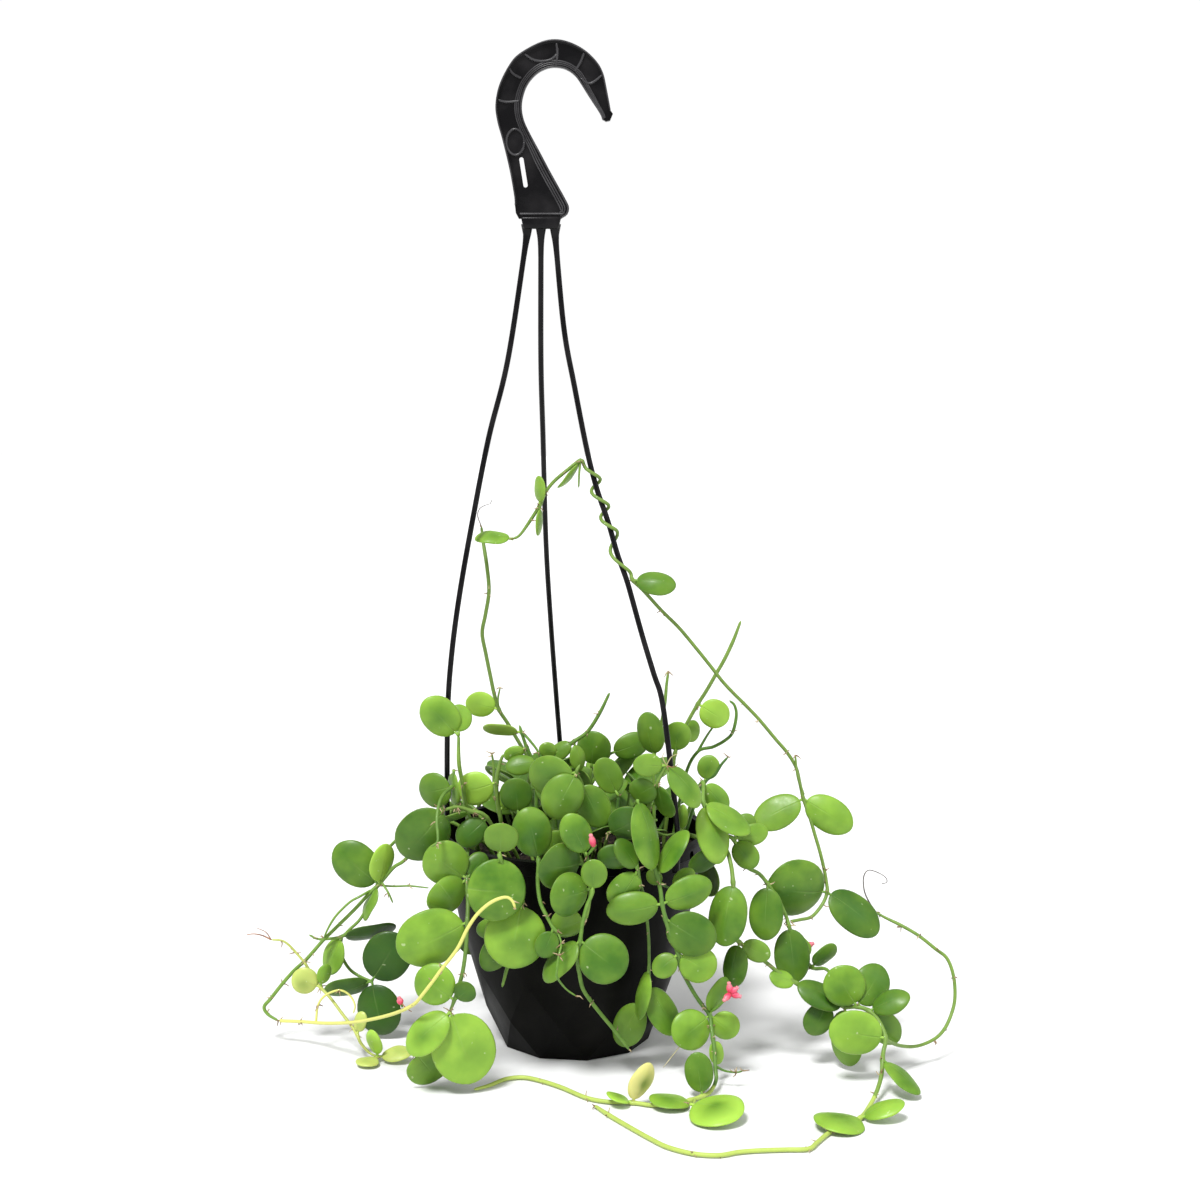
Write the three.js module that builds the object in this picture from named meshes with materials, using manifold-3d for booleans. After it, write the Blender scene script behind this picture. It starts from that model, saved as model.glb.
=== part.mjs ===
// A potted Dischidia platyphylla: a faceted plastic hanging pot with its three-armed hanger, soil,
// and thick round leaves in pairs on stems that climb, hang over the rim and run along the ground.
// Millimetres, +Z up. The origin is the centre of the pot's underside, and a viewer stands at -Y.

import * as THREE from "three";
import { ConvexGeometry } from "three/addons/geometries/ConvexGeometry.js";
import { mergeVertices } from "three/addons/utils/BufferGeometryUtils.js";
import Module from "manifold-3d";

const wasm = await Module();
wasm.setup();

// Driving dimensions
const RIM_RADIUS = 76;
const RIM_TOP = 124;
const RIM_BAND = 8;
const RIM_LIP = 1.4;
const WALL = 3;
const FOOT_RADIUS = 43.5;
const FACETS = 10;
const FACET_TURN = -8;
const ROUND_SIDES = 24;
const SOIL_TOP = 111;
const SOIL_CROWN = 3;
const GAP = 0.35;
const STEM_SIDES = 4;
const CURVE_STEP = 2.5;
const CURVE_SLACK = 0.42;
const MERGE_SLACK = 0.08;
const ARM_RADIUS = 1.6;
const ARM_ANGLES = { back: 96, left: 208, right: 316 };
const HOOK_THICK = 6;
const HOOK_EDGE = 2.2;
const ROOT_DEPTH = 7;
const LEAF_RATIO = 0.93;
const LEAF_SLIM = 0.62;
const LEAF_EDGE = 0.8;
const LEAF_BODY = 1.8;
const LEAF_DOME = 0.06;
const LEAF_CLEAR = 2.1;
const STEM_CLEAR = 1.4;
const WALL_CLEAR = 1.6;

// Places on the plant are given as they are seen from the viewer's eye: x and height on the upright
// plane through the pot's axis, then the depth y of the point along that sight line. FLOOR stands for
// the depth where the point lies on the ground.
const EYE = new THREE.Vector3(15, -1250, 445);
const TOWARD = new THREE.Vector3(0, -1, 0);
const FLOOR = null;

const radians = THREE.MathUtils.degToRad;

function seen(x, height, y) {
  const far = (y - EYE.y) / -EYE.y;
  return new THREE.Vector3(EYE.x + (x - EYE.x) * far, y, EYE.z + (height - EYE.z) * far);
}

function laid(x, height, lift) {
  const far = (EYE.z - lift) / (EYE.z - height);
  return seen(x, height, EYE.y * (1 - far));
}

function polar(radius, angle, z) {
  return new THREE.Vector3(radius * Math.cos(radians(angle)), radius * Math.sin(radians(angle)), z);
}

/** A repeatable stream of numbers from -1 to 1. */
function stream(seed) {
  const modulus = 2147483647;
  let state = seed;
  return () => {
    state = (state * 16807) % modulus;
    return (2 * state) / modulus - 1;
  };
}

// Closed bodies

function volume(points, faces) {
  let sum = 0;
  for (let i = 0; i < faces.length; i += 3) {
    const [a, b, c] = [points[faces[i]], points[faces[i + 1]], points[faces[i + 2]]];
    sum += a.dot(new THREE.Vector3().crossVectors(b, c));
  }
  return sum;
}

/** The solid inside a closed geometry. */
function solid(geometry) {
  const bare = geometry.clone();
  bare.deleteAttribute("normal");
  bare.deleteAttribute("uv");
  const merged = mergeVertices(bare, 1e-4);
  return new wasm.Manifold(new wasm.Mesh({
    numProp: 3,
    vertProperties: new Float32Array(merged.attributes.position.array),
    triVerts: new Uint32Array(merged.index.array),
  }));
}

function join(solids) {
  return solids.reduce((sum, next) => sum.add(next));
}

function geometryOf(body) {
  const mesh = body.asOriginal().simplify(MERGE_SLACK).getMesh();
  const geometry = new THREE.BufferGeometry();
  geometry.setAttribute("position", new THREE.BufferAttribute(new Float32Array(mesh.vertProperties), 3));
  geometry.setIndex(new THREE.BufferAttribute(new Uint32Array(mesh.triVerts), 1));
  geometry.computeVertexNormals();
  return geometry;
}

/** A body through rings of equally many points, closed by a point at each end. */
function loft(first, rings, last) {
  const count = rings[0].length;
  const points = [first, ...rings.flat(), last];
  const faces = [];
  for (let i = 0; i < count; i += 1) {
    const next = (i + 1) % count;
    faces.push(0, 1 + next, 1 + i);
    for (let ring = 0; ring + 1 < rings.length; ring += 1) {
      const here = 1 + ring * count;
      const there = here + count;
      faces.push(here + i, here + next, there + next, here + i, there + next, there + i);
    }
    const end = 1 + (rings.length - 1) * count;
    faces.push(end + i, end + next, points.length - 1);
  }
  if (volume(points, faces) < 0) {
    faces.reverse();
  }
  const geometry = new THREE.BufferGeometry().setFromPoints(points);
  return solid(geometry.setIndex(faces));
}

/** A closed tube along points, its section turned as little as possible from one to the next. */
function tube(points, radius, sides) {
  let side = null;
  const rings = points.map((point, i) => {
    const before = points[Math.max(i - 1, 0)];
    const after = points[Math.min(i + 1, points.length - 1)];
    const along = new THREE.Vector3().subVectors(after, before).normalize();
    side ??= Math.abs(along.z) > 0.8 ? new THREE.Vector3(1, 0, 0) : new THREE.Vector3(0, 0, 1);
    side = side.clone().addScaledVector(along, -side.dot(along)).normalize();
    const other = new THREE.Vector3().crossVectors(along, side);
    return Array.from({ length: sides }, (_, k) => {
      const turn = (2 * Math.PI * k) / sides;
      return point.clone()
        .addScaledVector(side, radius * Math.cos(turn))
        .addScaledVector(other, radius * Math.sin(turn));
    });
  });
  return loft(points[0], rings, points.at(-1));
}

/** Points along a smooth curve through the given ones, close together. */
function trace(points) {
  const curve = new THREE.CatmullRomCurve3(points, false, "catmullrom", 0.5);
  const spans = points.length - 1;
  const traced = [points[0].clone()];
  for (let span = 0; span < spans; span += 1) {
    const parts = Math.max(1, Math.round(points[span].distanceTo(points[span + 1]) / CURVE_STEP));
    for (let part = 1; part <= parts; part += 1) {
      traced.push(curve.getPoint((span + part / parts) / spans));
    }
  }
  return traced;
}

/** The fewest of the points that keep a line's course within the slack, its first span whole. */
function thin(points) {
  const kept = points.slice(0, 2);
  let from = 1;
  for (let to = 3; to < points.length; to += 1) {
    const chord = new THREE.Line3(points[from], points[to]);
    const strays = points.slice(from + 1, to).some((point) => (
      chord.closestPointToPoint(point, true, new THREE.Vector3()).distanceTo(point) > CURVE_SLACK));
    if (strays) {
      from = to - 1;
      kept.push(points[from]);
    }
  }
  return [...kept, points.at(-1)];
}

/** A round body about the z axis, from rings of [radius, z]. */
function turned(profile, sides = ROUND_SIDES) {
  const rings = profile.map(([radius, z]) => (
    Array.from({ length: sides }, (_, i) => polar(radius, (360 / sides) * i, z))));
  const [bottom, top] = [profile[0][1], profile.at(-1)[1]];
  return loft(new THREE.Vector3(0, 0, bottom), rings, new THREE.Vector3(0, 0, top));
}

function post(radius, from, to, x, y, sides) {
  return tube([new THREE.Vector3(x, y, from), new THREE.Vector3(x, y, to)], radius, sides);
}

/** A round bar that points outward from the axis at an angle. */
function spoke(radius, from, to, angle, z) {
  return tube([polar(from, angle, z), polar(to, angle, z)], radius, 6);
}

/** Radius of a profile of [radius, z] at a height, by straight pieces. */
function radiusAt(profile, z) {
  for (let i = 1; i < profile.length; i += 1) {
    const [[r0, z0], [r1, z1]] = [profile[i - 1], profile[i]];
    if (z <= z1) {
      return r0 + ((r1 - r0) * Math.max(z - z0, 0)) / (z1 - z0);
    }
  }
  return profile.at(-1)[0];
}

// Pot

const POT_INSIDE = [[40, 2.6], [55.6, 48], [64.8, 75], [RIM_RADIUS - WALL, 114]];
const POT_OUTSIDE = [[44.5, 0], [44.5, 5], [51.6, 21], [60.6, 48], [67, 75],
  [RIM_RADIUS - 1, RIM_TOP - RIM_BAND], [RIM_RADIUS + RIM_LIP, RIM_TOP - 2], [RIM_RADIUS + RIM_LIP, RIM_TOP]];
const CLIP_HOLE = { z: 118, radius: 2.3, beside: 15 };
const DRAIN = { count: 5, radius: 3.5, ring: 27 };

/** A ring of the facets' corners. Each half turn moves the corners by half a facet. */
function corners(radius, z, halfTurns) {
  const step = 360 / FACETS;
  return Array.from({ length: FACETS }, (_, i) => polar(radius, FACET_TURN + step * (i + halfTurns / 2), z));
}

function circle(radius, z) {
  return Array.from({ length: ROUND_SIDES }, (_, i) => polar(radius, (360 / ROUND_SIDES) * i, z));
}

function makePot() {
  const bandFoot = RIM_TOP - RIM_BAND;
  const shell = solid(new ConvexGeometry([
    ...corners(FOOT_RADIUS, 0, 0),
    ...corners(44.5, 5, 0),
    ...corners(51.6, 21, 1),
    ...corners(60.6, 48, 2),
    ...circle(67, 75),
    ...circle(RIM_RADIUS - 1, bandFoot),
  ]));
  const band = turned([[RIM_RADIUS - 1.5, bandFoot - 1], [RIM_RADIUS, bandFoot], [RIM_RADIUS, RIM_TOP - 2.6],
    [RIM_RADIUS + RIM_LIP, RIM_TOP - 2], [RIM_RADIUS + RIM_LIP, RIM_TOP]]);
  const inside = turned([...POT_INSIDE, [RIM_RADIUS - WALL, RIM_TOP + 1]]);
  const groove = turned([[37, -1], [36, 1.2]], 20).subtract(turned([[17, -2], [18, 2]], 20));
  let pot = shell.add(band).subtract(inside).subtract(groove);
  for (let i = 0; i < DRAIN.count; i += 1) {
    const centre = polar(DRAIN.ring, 90 + (360 / DRAIN.count) * i, 0);
    pot = pot.subtract(post(DRAIN.radius, -1, 4, centre.x, centre.y, 6));
  }
  for (const angle of Object.values(ARM_ANGLES)) {
    for (const beside of [-CLIP_HOLE.beside, 0, CLIP_HOLE.beside]) {
      const hole = spoke(CLIP_HOLE.radius, RIM_RADIUS - 6, RIM_RADIUS + 4, angle + beside, CLIP_HOLE.z);
      pot = pot.subtract(hole);
    }
  }
  return pot;
}

/** The soil fills the pot, and every stem that stands in it has a plain hole. */
function makeSoil(stems) {
  const profile = POT_INSIDE.slice(0, -1).map(([radius, z], i) => [radius - GAP, i ? z : z + GAP]);
  profile.push([radiusAt(POT_INSIDE, SOIL_TOP) - GAP, SOIL_TOP], [30, SOIL_TOP + SOIL_CROWN]);
  return stems.reduce((soil, { root, radius }) => {
    const clear = (radius + GAP) / Math.cos(Math.PI / 4);
    return soil.subtract(post(clear, SOIL_TOP - ROOT_DEPTH - GAP, SOIL_TOP + 2 * SOIL_CROWN, ...root, 4));
  }, turned(profile));
}

// Hanger

const CROOK = { x: -10.5, z: 535, radius: 31.7 };
const THROAT = { x: -9.5, z: 533, radius: 18.8 };
const COLLAR_Z = 470.3;
const COLLAR_FOOT = 464.8;
const SOCKET_DEPTH = 3;
const ARM_TOPS = { left: -25.4, back: -17.7, right: -9.9 };

/** The crook's outline as the viewer sees it, drawn in by an inset for the hollows inside its edge. */
function crookOutline(inset) {
  const shape = new THREE.Shape();
  shape.absarc(CROOK.x, CROOK.z, CROOK.radius - inset, radians(28), radians(188), false);
  shape.lineTo(-32 + inset, 482);
  shape.lineTo(-32 + inset, 476);
  shape.lineTo(-29.8 + inset, COLLAR_Z + inset);
  shape.lineTo(-6.6 - inset, COLLAR_Z + inset);
  shape.lineTo(-2.2 - inset, 475.5);
  shape.lineTo(-3.2 - inset, 479.5);
  shape.absarc(THROAT.x, THROAT.z, THROAT.radius + inset, radians(208), radians(35), true);
  shape.lineTo(16.6 - 2 * inset, 523.9 + 3 * inset);
  if (inset === 0) {
    shape.lineTo(18.3, 522.9);
    shape.lineTo(22.1, 527.2);
    shape.lineTo(20.5, 529.3);
  }
  return shape;
}

/** A plate of the given outline, standing in the x-z plane between two depths. */
function plate(shape, from, to) {
  const slab = new THREE.ExtrudeGeometry(shape, { depth: to - from, bevelEnabled: false, curveSegments: 8 });
  return solid(slab.rotateX(Math.PI / 2).translate(0, to, 0));
}

function bar(x0, z0, x1, z1, width) {
  const across = new THREE.Vector2(z0 - z1, x1 - x0).setLength(width / 2);
  return new THREE.Shape([
    new THREE.Vector2(x0 + across.x, z0 + across.y),
    new THREE.Vector2(x0 - across.x, z0 - across.y),
    new THREE.Vector2(x1 - across.x, z1 - across.y),
    new THREE.Vector2(x1 + across.x, z1 + across.y),
  ]);
}

/** Ribs between the edges of the crook: bars across it at these angles, and a round cell in its neck. */
function crookRibs() {
  const bars = [52, 95, 142, 180].map((angle) => {
    const [cos, sin] = [Math.cos(radians(angle)), Math.sin(radians(angle))];
    const [inner, outer] = [THROAT.radius - 1, CROOK.radius + 1];
    return plate(bar(THROAT.x + inner * cos, THROAT.z + inner * sin, CROOK.x + outer * cos,
      CROOK.z + outer * sin, 1.4), -HOOK_THICK, HOOK_THICK);
  });
  const cell = new THREE.Shape().absellipse(-31.8, 512, 5.2, 7.4, 0, 2 * Math.PI, false, radians(12));
  cell.holes.push(new THREE.Path().absellipse(-31.8, 512, 4, 6.2, 0, 2 * Math.PI, false, radians(12)));
  return join([...bars, plate(cell, -HOOK_THICK, HOOK_THICK)]);
}

function makeHook() {
  const half = HOOK_THICK / 2;
  const ribs = crookRibs();
  const hollow = crookOutline(HOOK_EDGE);
  let hook = plate(crookOutline(0), -half, half);
  hook = hook.subtract(plate(hollow, half - 1.9, half + 1).subtract(ribs));
  hook = hook.subtract(plate(hollow, -half - 1, -half + 1.9).subtract(ribs));
  hook = hook.subtract(plate(bar(-28.5, 503, -26, 488.5, 2.6), -half - 1, half + 1));
  const collar = new THREE.Shape([
    new THREE.Vector2(-28.7, COLLAR_Z + 1), new THREE.Vector2(-27.1, COLLAR_FOOT - 1),
    new THREE.Vector2(-7.7, COLLAR_FOOT - 1), new THREE.Vector2(-6.6, COLLAR_Z + 1),
  ]);
  hook = hook.add(plate(collar, -half - 0.6, half + 0.6));
  for (const x of Object.values(ARM_TOPS)) {
    const clear = ARM_RADIUS + GAP + 0.1;
    hook = hook.subtract(post(clear, COLLAR_FOOT - 2, COLLAR_FOOT + SOCKET_DEPTH, x, 0, 8));
  }
  return hook;
}

// Each arm leaves its socket in the collar, bows out and ends outside the rim, where a peg with a
// catch goes through a hole in the rim band.
const ARM_ROUTES = {
  left: [[-36.4, 393, -9], [-47.3, 350, -18], [-56.1, 307, -25], [-64.4, 262, -32], [-69.6, 225, -35.5],
    [-72.2, 190, -37.3]],
  back: [[-18, 393, 19], [-17, 350, 35], [-15.5, 289, 55], [-12.9, 243, 68], [-10.1, 203, 76]],
  right: [[-5.1, 410, -4], [0.5, 379, -8], [7.7, 342, -14], [13.3, 320, -18], [19.5, 302, -23],
    [25.2, 282, -28], [30.3, 268, -32], [38.9, 237, -39], [46.4, 212, -45], [51, 196, -49]],
};
const ARM_REACH = RIM_RADIUS + RIM_LIP + GAP + ARM_RADIUS + 0.4;

function armLine(side) {
  const top = COLLAR_FOOT + SOCKET_DEPTH - GAP;
  return [new THREE.Vector3(ARM_TOPS[side], 0, top), ...trace([
    new THREE.Vector3(ARM_TOPS[side], 0, COLLAR_FOOT - 3),
    ...ARM_ROUTES[side].map((point) => seen(...point)),
    polar(ARM_REACH, ARM_ANGLES[side], 140),
    polar(ARM_REACH, ARM_ANGLES[side], 113),
  ])];
}

function makeArm(side) {
  const angle = ARM_ANGLES[side];
  const inner = RIM_RADIUS - WALL - 3;
  const peg = spoke(CLIP_HOLE.radius - GAP - 0.2, inner, ARM_REACH, angle, CLIP_HOLE.z);
  const catchPlate = new THREE.BoxGeometry(1.6, 5, 6).translate(inner, 0, CLIP_HOLE.z - 1);
  const rod = tube(thin(armLine(side)), ARM_RADIUS, 6);
  return join([rod, peg, solid(catchPlate.rotateZ(radians(angle)))]);
}

// Leafy stems. A stem's route is a row of [x, height, y] as seen, and a leaf grows from a point of it:
// [x and height of its tip, its width as seen, 1 or -1 for the way it tips or rolls].
const VINES = [
  { name: "vine_heart", root: [-56, -33], stems: [
    { d: 2.3, at: [[-62, 135, -40], [-64, 150, -44], [-66, 163, -46],
      [-66, 178.5, -47, [-85, 200, 21, 1], [-65, 196.5, 15, -1]]] },
  ] },
  { name: "vine_sprout_left", root: [-52, -36], stems: [
    { d: 2.2, at: [[-60, 130, -50], [-66, 140, -52], [-69, 149, -53, [-88.5, 143, 21, -1]],
      [-69, 158.5, -53, [-75, 138, 6, 1]]] },
    { d: 1.8, at: [[-69, 149, -53], [-75, 144, -66], [-78, 137, -74], [-79, 128, -80], [-78.5, 120, -84],
      [-79, 115.5, -86], [-82.5, 113, -87]] },
  ] },
  { name: "vine_left_round", root: [-35, -38], stems: [
    { d: 2.2, at: [[-50, 130, -57, [-67, 116, 16, 1]], [-59, 134, -60, [-80, 124, 7, -1]], [-67, 136.5, -63],
      [-74.5, 135, -66, [-99, 106, 30, 1]]] },
  ] },
  { name: "vine_left", over: 186, stems: [
    { d: 2.2, at: [[-84, 121, -8], [-88, 116, -6], [-98, 105, -5], [-104, 101, -4], [-110, 94, -3],
      [-113, 90.5, -3, [-137.5, 113, 25, 1], [-112, 116.5, 12, -1], [-116, 66, 8, 1]], [-117.5, 86.5, -4],
      [-127, 76, -5], [-137, 66, -6], [-146, 57, -8], [-152, 50, -10], [-157, 44.5, -11], [-163, 39, -12],
      [-170, 31, -12], [-177, 22, -12], [-181, 17, -12], [-179, 12.5, -13], [-173, 8.5, -15]] },
    { d: 2, at: [[-84, 121, -8], [-92, 122, 4], [-100, 119, 9], [-109, 109.5, 13], [-112, 99, 11],
      [-113.5, 92, 7]] },
    { d: 1.8, at: [[-115, 88, -3.5], [-119, 79, -6], [-124, 70, -4], [-130, 64, -4],
      [-135, 59.5, -4, [-104, 50, 15, -1], [-147.5, 37, 12, 1]], [-143, 58, -3], [-149, 58, -2],
      [-154, 60.5, -2]] },
    { d: 1.5, at: [[-118, 87, -4], [-124, 83.5, -8], [-130, 80, -9], [-138, 72, -10], [-143, 64, -10],
      [-145.5, 58, -8]] },
    { d: 2, at: [[-135, 59.5, -4], [-136, 52, 2], [-134, 45, 4], [-130, 39, 4], [-124, 35, 2],
      [-118, 32.5, -6, [-101, 60, 28, 1], [-110, 1, 26, 1], [-146, 24.5, 16, -1]]] },
    { d: 1.5, at: [[-111.5, 92.2, -3], [-107.5, 85.5, -8], [-105, 79.5, -9]] },
    { d: 1.2, at: [[-112.5, 90, -3], [-104, 89.5, 0], [-95, 89.7, 0], [-84, 88.5, -6]] },
  ] },
  { name: "vine_left_yellow", ripe: true, stems: [
    { d: 1.8, at: [[-157, 44, -13.8], [-152, 35, -15], [-148, 29, -17, [-164, 36, 16, 1], [-144, 43, 8, -1]],
      [-142, 22, -21], [-135, 12, -27], [-130, 5, -32], [-127, 0, -36, [-123, 14, 8, 1]], [-125, -5, -39],
      [-120, -11, -42], [-115, -13.5, -45, [-126, -17, 3.5, 1], [-95, -12, 6, 1], [-117.5, 4.5, 10, -1]]] },
    { d: 1.5, at: [[-157, 44, -13.8], [-162, 50, -12], [-166, 54.5, -12], [-170, 57, -12],
      [-176, 57.5, -12]] },
  ] },
  { name: "vine_left_runner", ripe: true, stems: [
    { d: 2, at: [[-171.8, 8.5, -15.5], [-160, 8, -20], [-145, 7, -33], [-130, 7.5, -50], [-118, 9.5, -68],
      [-108, 12, -84], [-100, 15, -96], [-93, 19, -104], [-88, 25, -108], [-82, 33, -110], [-77, 40, -111],
      [-68, 52, -112], [-62, 64, -112], [-56, 73, -112], [-48, 80, -111], [-40, 83, -110], [-36, 81, -110],
      [-34, 76, -110]] },
    { d: 1.3, at: [[-151, 7.4, -27.5], [-149.5, 18, -26], [-145, 24, -26], [-137, 27, -26], [-131, 24, -26],
      [-128, 18, -28], [-129, 13, -30]] },
  ] },
  { name: "vine_left_rim", over: 222, stems: [
    { d: 2.3, at: [[-62, 94, -74, [-84, 112, 27, 1], [-84, 78, 22, 1], [-51, 108, 13, -1]], [-61.5, 80, -80],
      [-62, 68, -86, [-102, 51, 35, 1]], [-63, 52, -91], [-65, 38, -95], [-68, 27, -97],
      [-70, 21, -98, [-91, 37, 25, -1], [-59, 31, 14, -1]],
      [-72.5, 14, -99, [-96, -11, 19, 1], [-55, -29, 38, -1]]] },
    { d: 1.8, at: [[-72.5, 14, -99], [-80, 2, -96], [-87, -6, -94], [-93, -11, -94, [-80, -37, 30, -1]]] },
  ] },
  { name: "vine_front_left", over: 240, stems: [
    { d: 2.2, at: [[-43, 108, -96, [-47, 69, 34, -1], [-41, 128, 20, 1]], [-38, 96, -88], [-33, 87, -84],
      [-30, 80, -86, [-38, 42, 36, 1]], [-35, 66, -76, [-53, 41, 18, -1], [-57, 62, 14, -1]],
      [-39, 52, -74], [-38.5, 44, -74], [-40, 37, -75], [-42, 29, -76]] },
  ] },
  { name: "vine_dark_left", root: [-22, -44], stems: [
    { d: 2, at: [[-30, 128, -40], [-32, 132, -40, [-34, 154, 19, 1]]] },
  ] },
  { name: "vine_front_root", over: 255, stems: [
    { d: 2.2, at: [[-20.5, 105, -81, [-27, 136, 23, -1]], [-21, 92, -84], [-19.5, 80, -88], [-15.5, 71, -91],
      [-12, 64.5, -92, [-19, 47, 14, -1]], [-8.5, 61.5, -93]] },
    { d: 1.2, at: [[-9.5, 62, -93], [-7.5, 55, -99], [-9, 48, -104], [-10, 40, -106], [-10, 35, -106],
      [-5, 28, -100], [1, 23.5, -96]] },
  ] },
  { name: "vine_front_fall", over: 275, stems: [
    { d: 2.2, at: [[9.5, 99, -88], [10.5, 86.5, -93, [13, 107.5, 15.5, 1]], [7.5, 78, -93], [5, 68, -92],
      [3.5, 57, -90, [-17.5, 33, 9, 1], [29, 38, 29, 1]], [2, 45, -86], [3, 37, -82], [5, 28, -78],
      [10, 20, -75], [16, 12, -73], [24, 2, -72], [32, -9, -70]] },
  ] },
  { name: "vine_front_mid", over: 266, stems: [
    { d: 2, at: [[2, 108, -81.5], [5, 103, -82, [-17.5, 105, 28, 1]], [9, 96, -84.5],
      [9.5, 88, -86, [-15, 84, 26, 1]], [8.5, 77, -85], [7, 70, -84, [-14, 65, 22, 1]]] },
  ] },
  { name: "vine_front_lime", root: [10, -48], stems: [
    { d: 2, at: [[12, 112, -60], [12, 113, -74], [7.5, 108, -93, [-4, 132.5, 18, 1]]] },
  ] },
  { name: "vine_mid_pair", root: [2, -40], stems: [
    { d: 2.2, at: [[5, 128, -50], [5, 142, -58], [4, 151, -64, [17, 125, 20, -1]],
      [1.5, 157, -74, [-13.5, 130.5, 24, 1], [-28, 147, 27, -1]], [3.5, 161.5, -75]] },
    { d: 1.8, at: [[5, 128, -50], [2, 119, -58, [-18, 102, 22, -1]]] },
  ] },
  { name: "vine_mid_oval", root: [26, -34], stems: [
    { d: 2, at: [[25, 128, -40], [25.5, 143, -42, [15, 165, 16, -1]]] },
  ] },
  { name: "vine_dark_round", root: [16, -54], stems: [
    { d: 2, at: [[17, 108, -62], [19.5, 121, -76, [38.5, 136.5, 21.5, 1]]] },
  ] },
  { name: "vine_right_long", root: [36, -38], stems: [
    { d: 2, at: [[34, 124, -60], [34.5, 135, -74], [36.5, 141, -86, [42.5, 100, 12.5, 1]]] },
  ] },
  { name: "vine_right_star", root: [43, -40], stems: [
    { d: 2.2, at: [[42, 125, -52], [44, 140, -60], [48, 151, -70, [33.5, 141, 17, -1], [46.5, 125.5, 12, 1]],
      [53, 161, -72, [34, 162, 14, 1], [72.5, 137.5, 13, 1]]] },
    { d: 1.6, at: [[42, 125, -52], [52, 120, -44], [62, 122, -46, [64.5, 138, 6, 1]]] },
  ] },
  { name: "vine_right_lime", root: [52, 4], stems: [
    { d: 2.2, at: [[56, 150, 0], [58, 168, 0, [60, 188, 16, -1]], [62, 180, 0, [73.5, 180, 13, -1]],
      [66, 188, -1], [71, 197, -2, [88, 187, 17, 1]], [76, 205, -3], [81, 214, -4], [86, 223, -5],
      [91, 234, -6], [95, 245, -7]] },
  ] },
  { name: "vine_right_curl", root: [58, 18], stems: [
    { d: 2, at: [[64, 155, 14], [71, 169, 10], [80, 172, 8], [87, 176, 7], [91, 180.5, 6], [93, 190, 5],
      [92, 196, 4], [89, 199, 3]] },
    { d: 1.6, at: [[71, 169, 10], [76, 178, 10], [81, 185.5, 10]] },
  ] },
  { name: "vine_right_bud", root: [62, -8], stems: [
    { d: 2, at: [[70, 140, -8], [75, 151, -9, [79, 167, 13, -1]], [81, 156, -10], [85, 162, -10],
      [88.5, 166, -10]] },
  ] },
  { name: "vine_sprout_arm", root: [46, -10], stems: [
    { d: 2, at: [[46, 150, -10], [46, 166, -10, [44, 193.5, 15, -1]], [49.5, 182, -11], [52, 197, -12],
      [53, 208, -13], [54, 216, -13]] },
  ] },
  { name: "vine_sprout_tall", root: [-24, 4], stems: [
    { d: 2.2, at: [[-20, 155, 4], [-17, 163, 4], [-8, 168.5, 4, [-20, 172, 9, -1]],
      [0, 175, 4, [3.5, 158, 9, 1], [-14, 166, 8, 1]], [8, 181, 4], [15, 192, 4], [20.5, 203.5, 4]] },
  ] },
  { name: "vine_back_low", root: [16, 16], stems: [
    { d: 2.2, at: [[10, 150, 18], [10, 160, 19, [12.5, 181.5, 20, -1]]] },
    { d: 2, at: [[10, 150, 18], [16, 160, 20], [21, 168, 20, [43, 176, 15, -1]]] },
  ] },
  { name: "vine_tall_left", root: [-30, -8], stems: [
    { d: 2.2, at: [[-26, 150, -8], [-25, 162, -9], [-30, 172, -10], [-34, 179, -10], [-38, 186, -11],
      [-43, 194, -12, [-61.5, 200, 15, 1]], [-45.5, 203, -12], [-47.5, 213, -12], [-50, 226, -12],
      [-52, 238, -12], [-50, 249, -11], [-48, 262, -9], [-49, 276, -6], [-51, 290, 0], [-52, 299, 2]] },
    { d: 1.4, at: [[-43, 194, -12], [-43.3, 200, -14], [-42, 206.5, -14]] },
  ] },
  { name: "vine_fork", root: [-20, -22], stems: [
    { d: 2.2, at: [[-22, 150, -22], [-23, 162, -22], [-27, 171.5, -23, [-40, 165, 9, -1]],
      [-30, 180.5, -24, [-52, 183, 8, -1]], [-31, 184.5, -24]] },
    { d: 1.6, at: [[-30, 181, -24], [-25.5, 176, -27], [-20.5, 169, -28],
      [-20, 163, -28, [-39, 159.5, 10, 1]]] },
  ] },
  { name: "vine_light_left", root: [-38, -26], stems: [
    { d: 2.4, at: [[-42, 128, -36], [-43, 134, -37, [-30, 152, 14, -1]], [-44, 140, -38],
      [-44.5, 151, -39, [-67, 144.5, 20, 1]], [-42.5, 162, -40], [-40.5, 167.5, -41]] },
    { d: 1.7, at: [[-44, 140, -38], [-46, 150, -32], [-46, 160, -31], [-47, 168, -31]] },
  ] },
  { name: "vine_right_mid", root: [58, -26], stems: [
    { d: 2.2, at: [[68, 140, -34], [74, 151, -42, [88.5, 134, 13, 1]],
      [74.5, 139, -56, [80.5, 103.5, 19, 1], [99.5, 119.5, 12, 1]], [79, 130, -51], [87, 120.5, -49],
      [92, 117.5, -48, [105, 102, 15, 1], [112, 122, 13, -1], [104, 131, 13, -1]], [96, 108, -47],
      [100, 101, -45], [107, 97, -43], [112, 91, -41, [110.5, 58.5, 20, 1]], [118, 82, -39], [121, 76, -38],
      [123.5, 70, -37], [124.5, 66, -39.5, [128.5, 32.5, 21, 1]], [126.5, 61.5, -33, [138.5, 51, 8, -1]],
      [131, 52, -31], [138, 41, -32, [148, 58, 11, -1]],
      [146, 40, -46], [151, 35.5, -54]] },
  ] },
  { name: "vine_right_leafy", over: 328, stems: [
    { d: 2.4, at: [[76, 116, -46], [87, 112, -50, [66, 101, 13, -1]], [90.5, 103, -56],
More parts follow.
